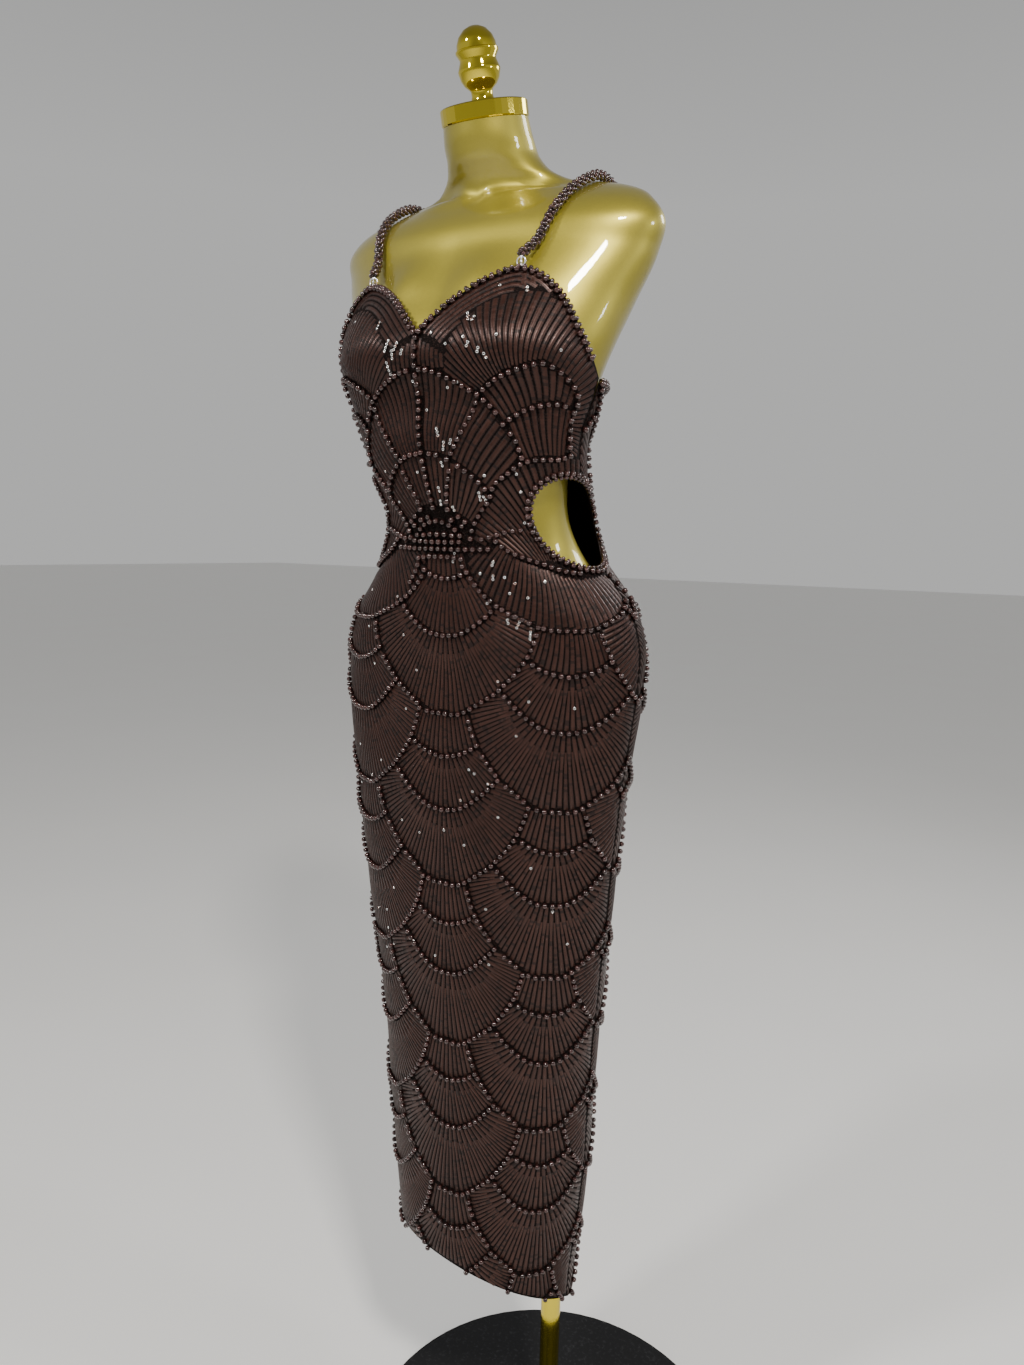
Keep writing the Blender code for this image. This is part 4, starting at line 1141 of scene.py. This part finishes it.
def make_panel(name, facing, thickness, finish):
    """A panel as a thin closed shell: outer face, lining and the turned edge between them."""
    outline = whole_outline(facing)
    places = np.concatenate([outline, panel_points(outline)])
    result = delaunay_2d_cdt(places.tolist(), [], [list(range(len(outline)))], 1, WELD)
    places, faces = np.array([tuple(place) for place in result[0]]), result[2]
    if facing > 0:
        faces = [face[::-1] for face in faces]
    outer = on_cloth(places, facing, 0)
    inner = on_cloth(places, facing, -thickness)
    count = len(places)
    loop = boundary_loop(faces)
    lining = [[count + corner for corner in reversed(face)] for face in faces]
    rim = [(b, a, count + a, count + b) for a, b in zip(loop, loop[1:] + loop[:1])]
    return mesh_object(name, np.concatenate([outer, inner]), faces + lining + rim, finish)


def rib_mesh(name, ribs, facing, outline, cloth, finish):
    """All ribs of a panel as low flat-topped strips. Their edges sink into the cloth."""
    lines = []
    for rib in ribs:
        for line in stretches(rib, inside(rib[:, :2], outline), 3 + RIB_TRIM):
            lines.append(evenly(line[1:-1], RIB_POINT_STEP))
    places = np.concatenate(lines)
    counts = [len(line) for line in lines]
    sideways = np.concatenate([rightward(line[:, :2]) for line in lines])
    taper = np.concatenate([np.concatenate([[RIB_TIP], np.ones(count - 2), [RIB_TIP]]) for count in counts])
    points = []
    for across, lift in zip(RIB_ACROSS, RIB_LIFT):
        edge = places[:, :2] + sideways * (across * RIB_FILL * places[:, 2])[:, None]
        points.append(on_cloth(edge, facing, lift * cloth.rib_height * (taper if lift > 0 else 1)))
    sides = len(RIB_ACROSS)
    points = np.stack(points, axis=1).reshape(-1, 3)
    faces, uvs, start = [], [], 0
    for number, (line, count) in enumerate(zip(lines, counts)):
        along = np.concatenate([[0], np.cumsum(np.linalg.norm(np.diff(line[:, :2], axis=0), axis=1))]) / cloth.sequin
        for i in range(count - 1):
            for j in range(sides - 1):
                a, b = (start + i) * sides + j, (start + i + 1) * sides + j
                quad = [(a, i, j), (a + 1, i, j + 1), (b + 1, i + 1, j + 1), (b, i + 1, j)]
                quad = quad if facing > 0 else quad[::-1]
                faces.append([corner[0] for corner in quad])
                uvs += [(number + RIB_SIDES_UV[k], along[row]) for _, row, k in quad]
        start += count
    thing = mesh_object(name, points, faces, finish)
    layer = thing.data.uv_layers.new(name="ribs")
    layer.data.foreach_set("uv", np.array(uvs, np.float32).ravel())
    return thing


def ball_template(segments, rings):
    """A low-poly ball of radius 1 as points and faces."""
    bpy.ops.object.select_all(action="DESELECT")
    bpy.ops.mesh.primitive_uv_sphere_add(segments=segments, ring_count=rings, radius=1)
    return taken_template()


def ring_template(turns, sides, thickness):
    bpy.ops.object.select_all(action="DESELECT")
    bpy.ops.mesh.primitive_torus_add(
        major_segments=turns, minor_segments=sides, major_radius=1 - thickness, minor_radius=thickness
    )
    return taken_template()


def taken_template():
    """The active primitive's points and faces. The primitive itself is removed."""
    thing = bpy.context.object
    points = np.array([vertex.co for vertex in thing.data.vertices])
    faces = [list(face.vertices) for face in thing.data.polygons]
    bpy.data.objects.remove(thing, do_unlink=True)
    return points, faces


def scatter(name, template, centres, frames, sizes, finish):
    """Copies of a template at the centres, turned by their frames, joined as one piece."""
    points, faces = template
    placed = np.einsum("nij,kj->nki", frames, points) * np.asarray(sizes)[:, None, None] + centres[:, None]
    count = len(points)
    every = [[corner + n * count for corner in face] for n in range(len(centres)) for face in faces]
    return mesh_object(name, placed.reshape(-1, 3), every, finish)


def frames_on(places, facing, turns):
    """Frames whose third axis stands on the cloth, turned about it."""
    normals = dress_normals(*places.T, facing)
    right = unit(np.cross([0, 0, 1.0], normals))
    up = np.cross(normals, right)
    c, s = np.cos(turns)[:, None], np.sin(turns)[:, None]
    return np.stack([right * c + up * s, up * c - right * s, normals], axis=2)


def pearl_places(rows, outline, spacing):
    """Even places along the rows, inside the outline and never closer than a share of the spacing."""
    kept, count = np.full((MOST_PEARLS, 2), np.inf), 0
    for row in rows:
        whole = evenly(row, LINE_STEP)
        for line in stretches(whole, inside(whole, outline), 3):
            for place in evenly(line, spacing):
                if not count or np.hypot(*(kept[:count] - place).T).min() > PEARL_CLEAR * spacing:
                    kept[count] = place
                    count += 1
    return kept[:count]


def pearl_mesh(name, rows, facing, outline, diameter, spacing, rng, finish):
    """Pearls along rows, sewn down on the cloth. Their lift is a share of their diameter."""
    places = pearl_places(rows, outline, spacing)
    centres = on_cloth(places, facing, diameter * PEARL_LIFT)
    frames = frames_on(places, facing, rng.uniform(0, math.tau, len(places)))
    sizes = diameter / 2 * rng.uniform(*PEARL_SIZES, len(places))
    return scatter(name, ball_template(*PEARL_BALL), centres, frames, sizes, finish)


# ---------------------------------------------------------------- operators


class BEADED_OT_panels(bpy.types.Operator):
    """Front and back panel with their ribs of sequins and rows of pearls"""

    bl_idname = "beaded.panels"
    bl_label = "Cloth panels"

    def execute(self, context):
        settings = context.scene.beaded_dress
        ground, sequins = ground_finish(settings.cloth), sequin_finish(settings.cloth)
        gloss = pearl_finish(settings.pearls)
        rng = np.random.default_rng(7)
        for side, facing in (("front", -1), ("back", 1)):
            outline = whole_outline(facing)
            panel = make_panel(f"cloth_{side}", facing, settings.cloth.thickness, ground)
            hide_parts(f"dress_{side}")
            ribs = skirt_ribs(facing, outline, settings.cloth.rib_period)
            rows = edge_rows(facing, EDGE_INSET, CUTOUT_INSET) + skirt_rows(facing, outline)
            if facing < 0:
                ribs += bodice_ribs(settings.cloth.rib_period)
                rows += bodice_rows()
            strips = rib_mesh(f"sequin_ribs_{side}", ribs, facing, outline, settings.cloth, sequins)
            pearls = settings.pearls
            beads = pearl_mesh(f"pearl_rows_{side}", rows, facing, outline, pearls.diameter, pearls.spacing, rng, gloss)
            rim = edge_rows(facing, RIM_INSET, RIM_INSET)
            small = pearl_mesh(
                f"rim_pearls_{side}", rim, facing, outline, pearls.strap_diameter, RIM_SPACING, rng, gloss
            )
            width = 2 * max(seam_distance(WIDTH_HEIGHTS, facing))
            length = outline[:, 1].max() - outline[:, 1].min()
            0.86 * width * length  # fmt: skip
        return {"FINISHED"}


class BEADED_OT_ring_sequins(bpy.types.Operator):
    """Small ring sequins that glint on the bodice and the hips"""

    bl_idname = "beaded.ring_sequins"
    bl_label = "Ring sequins"

    def execute(self, context):
        rng = np.random.default_rng(11)
        places = []
        for across, height, count in GLINTS:
            heading = rng.uniform(-GLINT_TURN, GLINT_TURN)
            for number in range(count):
                step = number * GLINT_STEP
                places.append((across * MM + step * math.sin(heading), height * MM - step * math.cos(heading)))
        strewn = rng.uniform(STREWN_LOW, STREWN_HIGH, (STREWN, 2))
        places = np.concatenate([np.array(places), strewn])
        places = places[inside(places, whole_outline(-1))]
        lift = context.scene.beaded_dress.cloth.rib_height + GLINT_LIFT
        frames = frames_on(places, -1, rng.uniform(0, math.tau, len(places)))
        sizes = np.full(len(places), SEQUIN_RING_RADIUS)
        centres = on_cloth(places, -1, lift)
        ring = ring_template(*SEQUIN_RING)
        scatter("ring_sequins", ring, centres, frames, sizes, silver_finish())
        return {"FINISHED"}


def node_tree_of(name):
    """The nearest-point tree of a CAD node."""
    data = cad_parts[name].data
    points = [vertex.co.copy() for vertex in data.vertices]
    return BVHTree.FromPolygons(points, [list(face.vertices) for face in data.polygons])


def strap_line(start):
    """The left strap's centre line from the ring's top, at an even distance over the form to the back edge."""
    tree = node_tree_of("form_torso")
    slant = np.array(STRAP_SLANT, float)
    line = []
    for turn in np.linspace(slant[0, 0], slant[-1, 0], STRAP_PLACES):
        out = Vector((0, -math.cos(math.radians(turn)), math.sin(math.radians(turn))))
        place = Vector((BODY_X + np.interp(turn, *slant.T) * MM, BODY_Y + STRAP_AIM_Y, STRAP_AIM_Z))
        place += out * STRAP_FAR
        for _ in range(STRAP_SEEKS):
            place -= out * (tree.find_nearest(place)[3] - STRAP_RADIUS - STRAP_CLEAR)
        line.append(tuple(place))
    line = np.array(line)
    behind = np.arange(len(line)) > np.argmax(line[:, 2])
    return np.concatenate([[start], line[behind | (line[:, 2] > start[2] + STRAP_LEAD)]])


class BEADED_OT_straps(bpy.types.Operator):
    """Pearl ropes over the shoulders, with the small chains that join them to the cups"""

    bl_idname = "beaded.straps"
    bl_label = "Straps"

    def execute(self, context):
        pearls = context.scene.beaded_dress.pearls
        gloss, silver = pearl_finish(pearls), silver_finish()
        peak = np.array([max(NECKLINE, key=lambda row: row[1])]) * MM
        edge = (dress_surface(*peak.T, -1) - dress_normals(*peak.T, -1) * STRAP_DEPTH)[0]
        ring = edge + np.array([0, 0, RING_RADIUS + RING_WIRE - RING_DROP])
        start = ring + np.array([0, 0, RING_RADIUS + RING_WIRE + RING_CLEAR])
        centre = strap_line(start)
        for name, side in (("left", 1), ("right", -1)):
            swap, middle = np.array([side, 1, 1]), np.array([BODY_X, 0, 0])
            line = (centre - middle) * swap + middle
            self.make_rope(f"strap_rope_{name}", line, pearls, gloss, f"strap_{name}")
            self.make_chain(f"strap_chain_{name}", (ring - middle) * swap + middle, silver, f"strap_ring_{name}")
        return {"FINISHED"}

    def make_rope(self, name, line, pearls, finish, node):
        """Rings of small pearls round a cord, each ring turned half a pearl from the last."""
        path = evenly(line, LINE_STEP)
        for _ in range(STRAP_SMOOTHINGS):
            path[1:-1] = (path[:-2] + path[1:-1] + path[2:]) / 3
        path = evenly(path, pearls.strap_diameter * STRAP_RING_STEP)
        heading = unit(np.gradient(path, axis=0))
        right = unit(np.cross(heading, [1.0, 0, 0]))
        other = np.cross(heading, right)
        half_turn = np.arange(len(path)) % 2 / 2
        centres = []
        for number in range(STRAP_ROUND):
            angle = math.tau * (number + half_turn)[:, None] / STRAP_ROUND
            centres.append(path + STRAP_PEARL_OUT * (np.cos(angle) * right + np.sin(angle) * other))
        centres = np.concatenate(centres)
        frames = np.repeat(np.eye(3)[None], len(centres), axis=0)
        sizes = np.full(len(centres), pearls.strap_diameter / 2)
        rope = scatter(name, ball_template(*PEARL_BALL), centres, frames, sizes, finish)
        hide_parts(node)

    def make_chain(self, name, centre, finish, node):
        """A small wire ring and the beads in it, in the same finish as the ring."""
        ring = ring_template(*STRAP_RING_TURNS, RING_WIRE / (RING_RADIUS + RING_WIRE))
        turn = np.array([[1, 0, 0], [0, 0, -1], [0, 1, 0]], float)
        chain = scatter(name, ring, np.array([centre]), turn[None], [RING_RADIUS + RING_WIRE], finish)
        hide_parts(node)
        beads = np.array([centre + [0, 0, height * MM] for height in BEAD_HEIGHTS])
        frames = np.repeat(np.eye(3)[None], len(beads), axis=0)
        sizes = [BEAD_RADIUS] * len(beads)
        scatter(f"{name}_beads", ball_template(*BEAD_BALL), beads, frames, sizes, finish)


def form_ring(height):
    """One section of the form, tilted forward by its lean."""
    half_width, front, back, centre_y, centre_x = table_at(FORM_SECTIONS, height)
    lean = math.radians(np.interp(height / MM, *zip(*FORM_LEANS)))
    turn = np.linspace(0, 2 * math.pi, FORM_RING_POINTS, endpoint=False)
    x = half_width * np.cos(turn)
    across = np.where(np.sin(turn) < 0, front, back) * np.sin(turn)
    y = centre_y + across * math.cos(lean)
    z = height + across * math.sin(lean)
    ahead = np.clip(-np.sin(turn), 0, 1)
    y = y - cup_rise(x, z, FORM_CUP_RISE, FORM_BRIDGE) * ahead
    y = y - soft_form(x, z, *THROAT) * ahead
    relief = sum(soft_form(x, z, *row) for row in BODY_FORMS) * ahead
    y, z = y + relief, z - SHELF_SHARE * relief * np.clip((z - SHELF_Z) / SHELF_RAMP, 0, 1)
    return np.stack([BODY_X + centre_x + x, BODY_Y + y, z], axis=1)


def soft_form(x, z, depth, aside, wide, height, high, rise):
    """A bell of this depth. Its centre and spreads are in millimetres, and its height rises away from the middle."""
    side = np.abs(x)
    across = (side - aside * MM) / (wide * MM)
    up = (z - height * MM - rise * side) / (high * MM)
    return depth * MM * np.exp(-(across**2 + up**2))


def neck_frame():
    """Placement of what stands on the neck: its top's centre and lean."""
    height, *_, centre_y, centre_x = FORM_SECTIONS[-1]
    place = Matrix.Translation((BODY_X + centre_x * MM, BODY_Y + centre_y * MM, height * MM))
    return place @ Matrix.Rotation(math.radians(FORM_LEANS[-1][1]), 4, "X")


class BEADED_OT_form(bpy.types.Operator):
    """The painted body of the dress form, and its turned finial"""

    bl_idname = "beaded.form"
    bl_label = "Dress form"

    def execute(self, context):
        form = context.scene.beaded_dress.form
        low, high = FORM_SECTIONS[0][0] * MM, FORM_SECTIONS[-1][0] * MM
        heights = np.linspace(low, high, round((high - low) / FORM_STEP) + 1)
        rings = [form_ring(height) for height in heights]
        count = FORM_RING_POINTS
        faces = [
            (row * count + i, row * count + (i + 1) % count, (row + 1) * count + (i + 1) % count, (row + 1) * count + i)
            for row in range(len(rings) - 1)
            for i in range(count)
        ]
        last = (len(rings) - 1) * count
        faces += [list(range(count))[::-1], [last + i for i in range(count)]]
        body = mesh_object("form_body", np.concatenate(rings), faces, paint_finish(form))
        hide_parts("form_torso")
        body.data.set_sharp_from_angle(angle=math.radians(BODY_CREASE))
        self.make_finial(polished_finish(form))
        return {"FINISHED"}

    def make_finial(self, finish):
        """The finial, spun from its profile."""
        mesh = bmesh.new()
        points = [mesh.verts.new((radius * MM, 0, height * MM)) for radius, height in FINIAL_PROFILE]
        edges = [mesh.edges.new(pair) for pair in zip(points, points[1:])]
        ring = {"axis": (0, 0, 1), "cent": (0, 0, 0), "angle": math.tau}
        bmesh.ops.spin(mesh, geom=points + edges, steps=FINIAL_STEPS, **ring)
        bmesh.ops.remove_doubles(mesh, verts=mesh.verts, dist=0.02 * MM)
        bmesh.ops.recalc_face_normals(mesh, faces=mesh.faces)
        mesh.transform(neck_frame() @ Matrix.Translation((0, 0, CAP_HEIGHT + 2 * GAP)))
        data = bpy.data.meshes.new("turned_finial")
        mesh.to_mesh(data)
        mesh.free()
        points = np.array([vertex.co for vertex in data.vertices])
        faces = [list(face.vertices) for face in data.polygons]
        finial = mesh_object("turned_finial", points, faces, finish)
        finial.data.set_sharp_from_angle(angle=math.radians(FINIAL_CREASE))
        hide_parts("finial")


class BEADED_OT_stand(bpy.types.Operator):
    """Finishes of the neck cap, socket, pole and base"""

    bl_idname = "beaded.stand"
    bl_label = "Stand"

    def execute(self, context):
        form = context.scene.beaded_dress.form
        gold, black = polished_finish(form), lacquer_finish(form)
        for name in ("neck_cap", "pole_socket", "pole", "base_disc"):
            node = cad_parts[name]
            for slot in node.material_slots:
                slot.material = black if name == "base_disc" else gold
        return {"FINISHED"}


class BEADED_OT_stage(bpy.types.Operator):
    """Floor, soft lights and the camera at the photograph's angle"""

    bl_idname = "beaded.stage"
    bl_label = "Stage"

    def execute(self, context):
        stage = context.scene.beaded_dress.stage
        self.make_floor(stage)
        for name, place, size, share, colour in LIGHTS:
            data = bpy.data.lights.new(name, "AREA")
            data.size, data.energy, data.color = size, stage.key_power * share, colour
            light = bpy.data.objects.new(name, data)
            heading = Vector(LIGHT_AIM) - Vector(place)
            light.matrix_world = Matrix.Translation(place) @ heading.to_track_quat("-Z", "Y").to_matrix().to_4x4()
            context.scene.collection.objects.link(light)
        self.make_room(context)
        self.make_camera(context)
        return {"FINISHED"}

    def make_room(self, context):
        """Pale light from all round, fainter from above and from straight ahead of the dress."""
        world = bpy.data.worlds.new("pale_room")
        world.use_nodes = True
        nodes, links = world.node_tree.nodes, world.node_tree.links
        background, place = nodes["Background"], nodes.new("ShaderNodeTexCoord")
        split, ceiling = nodes.new("ShaderNodeSeparateXYZ"), nodes.new("ShaderNodeMapRange")
        for socket, value in zip(list(ceiling.inputs)[1:5], (*CEILING_RAMP, ROOM_LIGHT, CEILING_LIGHT)):
            socket.default_value = value
        links.new(place.outputs["Generated"], split.inputs[0])
        links.new(split.outputs[2], ceiling.inputs[0])
        ahead, shade, product = (nodes.new(f"ShaderNode{kind}") for kind in ("VectorMath", "MapRange", "Math"))
        ahead.operation, product.operation = "DOT_PRODUCT", "MULTIPLY"
        ahead.inputs[1].default_value = SHADE_HEADING
        for socket, value in zip(list(shade.inputs)[1:5], (*SHADE_RAMP, 1, SHADE_LIGHT)):
            socket.default_value = value
        links.new(place.outputs["Generated"], ahead.inputs[0])
        links.new(ahead.outputs["Value"], shade.inputs[0])
        links.new(ceiling.outputs[0], product.inputs[0])
        links.new(shade.outputs[0], product.inputs[1])
        links.new(product.outputs[0], background.inputs[1])
        background.inputs[0].default_value = (*ROOM_COLOUR, 1)
        context.scene.world = world

    def make_floor(self, stage):
        bpy.ops.object.select_all(action="DESELECT")
        bpy.ops.mesh.primitive_plane_add(size=FLOOR_SIZE, location=(0, 0, -FLOOR_DROP))
        bpy.ops.object.transform_apply(location=True)
        floor = bpy.context.object
        floor.name = "floor"
        finish = Finish("pale_floor")
        cloud = finish.noise(1.5, 3)
        finish.set(Base_Color=finish.mix(cloud, tint(stage.backdrop, 0.97), tint(stage.backdrop, 1.03)))
        finish.set(Roughness=0.5 + 0.2 * cloud, Emission_Color=stage.backdrop, Emission_Strength=FLOOR_GLOW)
        floor.data.materials.append(finish.material)
        floor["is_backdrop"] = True

    def make_camera(self, context):
        data = bpy.data.cameras.new("camera")
        data.lens, data.sensor_width, data.sensor_fit = CAMERA_LENS, CAMERA_SENSOR, "AUTO"
        camera = bpy.data.objects.new("camera", data)
        turn = Matrix.Rotation(math.radians(CAMERA_HEADING), 4, "Z")
        tip = Matrix.Rotation(math.radians(90 + CAMERA_PITCH), 4, "X")
        roll = Matrix.Rotation(math.radians(CAMERA_ROLL), 4, "Z")
        camera.matrix_world = Matrix.Translation(CAMERA_PLACE) @ turn @ tip @ roll
        context.scene.collection.objects.link(camera)
        context.scene.camera = camera


class BEADED_PT_dress(bpy.types.Panel):
    """Lists the dress's pieces and settings"""

    bl_label = "Beaded dress"
    bl_idname = "BEADED_PT_dress"
    bl_space_type = "VIEW_3D"
    bl_region_type = "UI"
    bl_category = "Beaded dress"

    def draw(self, context):
        settings = context.scene.beaded_dress
        for operator in OPERATORS:
            self.layout.operator(operator.bl_idname)
        for group in (settings.cloth, settings.pearls, settings.form, settings.stage):
            box = self.layout.box()
            for name in group.bl_rna.properties.keys():
                if name not in ("rna_type", "name"):
                    box.prop(group, name)


OPERATORS = (
    BEADED_OT_form, BEADED_OT_panels, BEADED_OT_ring_sequins, BEADED_OT_straps, BEADED_OT_stand, BEADED_OT_stage,
)  # fmt: skip
CLASSES = (ClothSettings, PearlSettings, FormSettings, StageSettings, DressSettings, *OPERATORS, BEADED_PT_dress)


def register():
    for item in CLASSES:
        bpy.utils.register_class(item)
    bpy.types.Scene.beaded_dress = PointerProperty(
        name="Beaded dress", description="Settings of the dress, its form and the stage", type=DressSettings
    )


def unregister():
    del bpy.types.Scene.beaded_dress
    for item in reversed(CLASSES):
        bpy.utils.unregister_class(item)


def main():
    register()
    bpy.ops.beaded.form()
    bpy.ops.beaded.panels()
    bpy.ops.beaded.ring_sequins()
    bpy.ops.beaded.straps()
    bpy.ops.beaded.stand()
    bpy.ops.beaded.stage()
    sizes = {"cad": CAD_BOX, "visual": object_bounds()}
    {name: [[float(part) for part in corner] for corner in box] for name, box in sizes.items()}


if __name__ == "__main__":
    main()
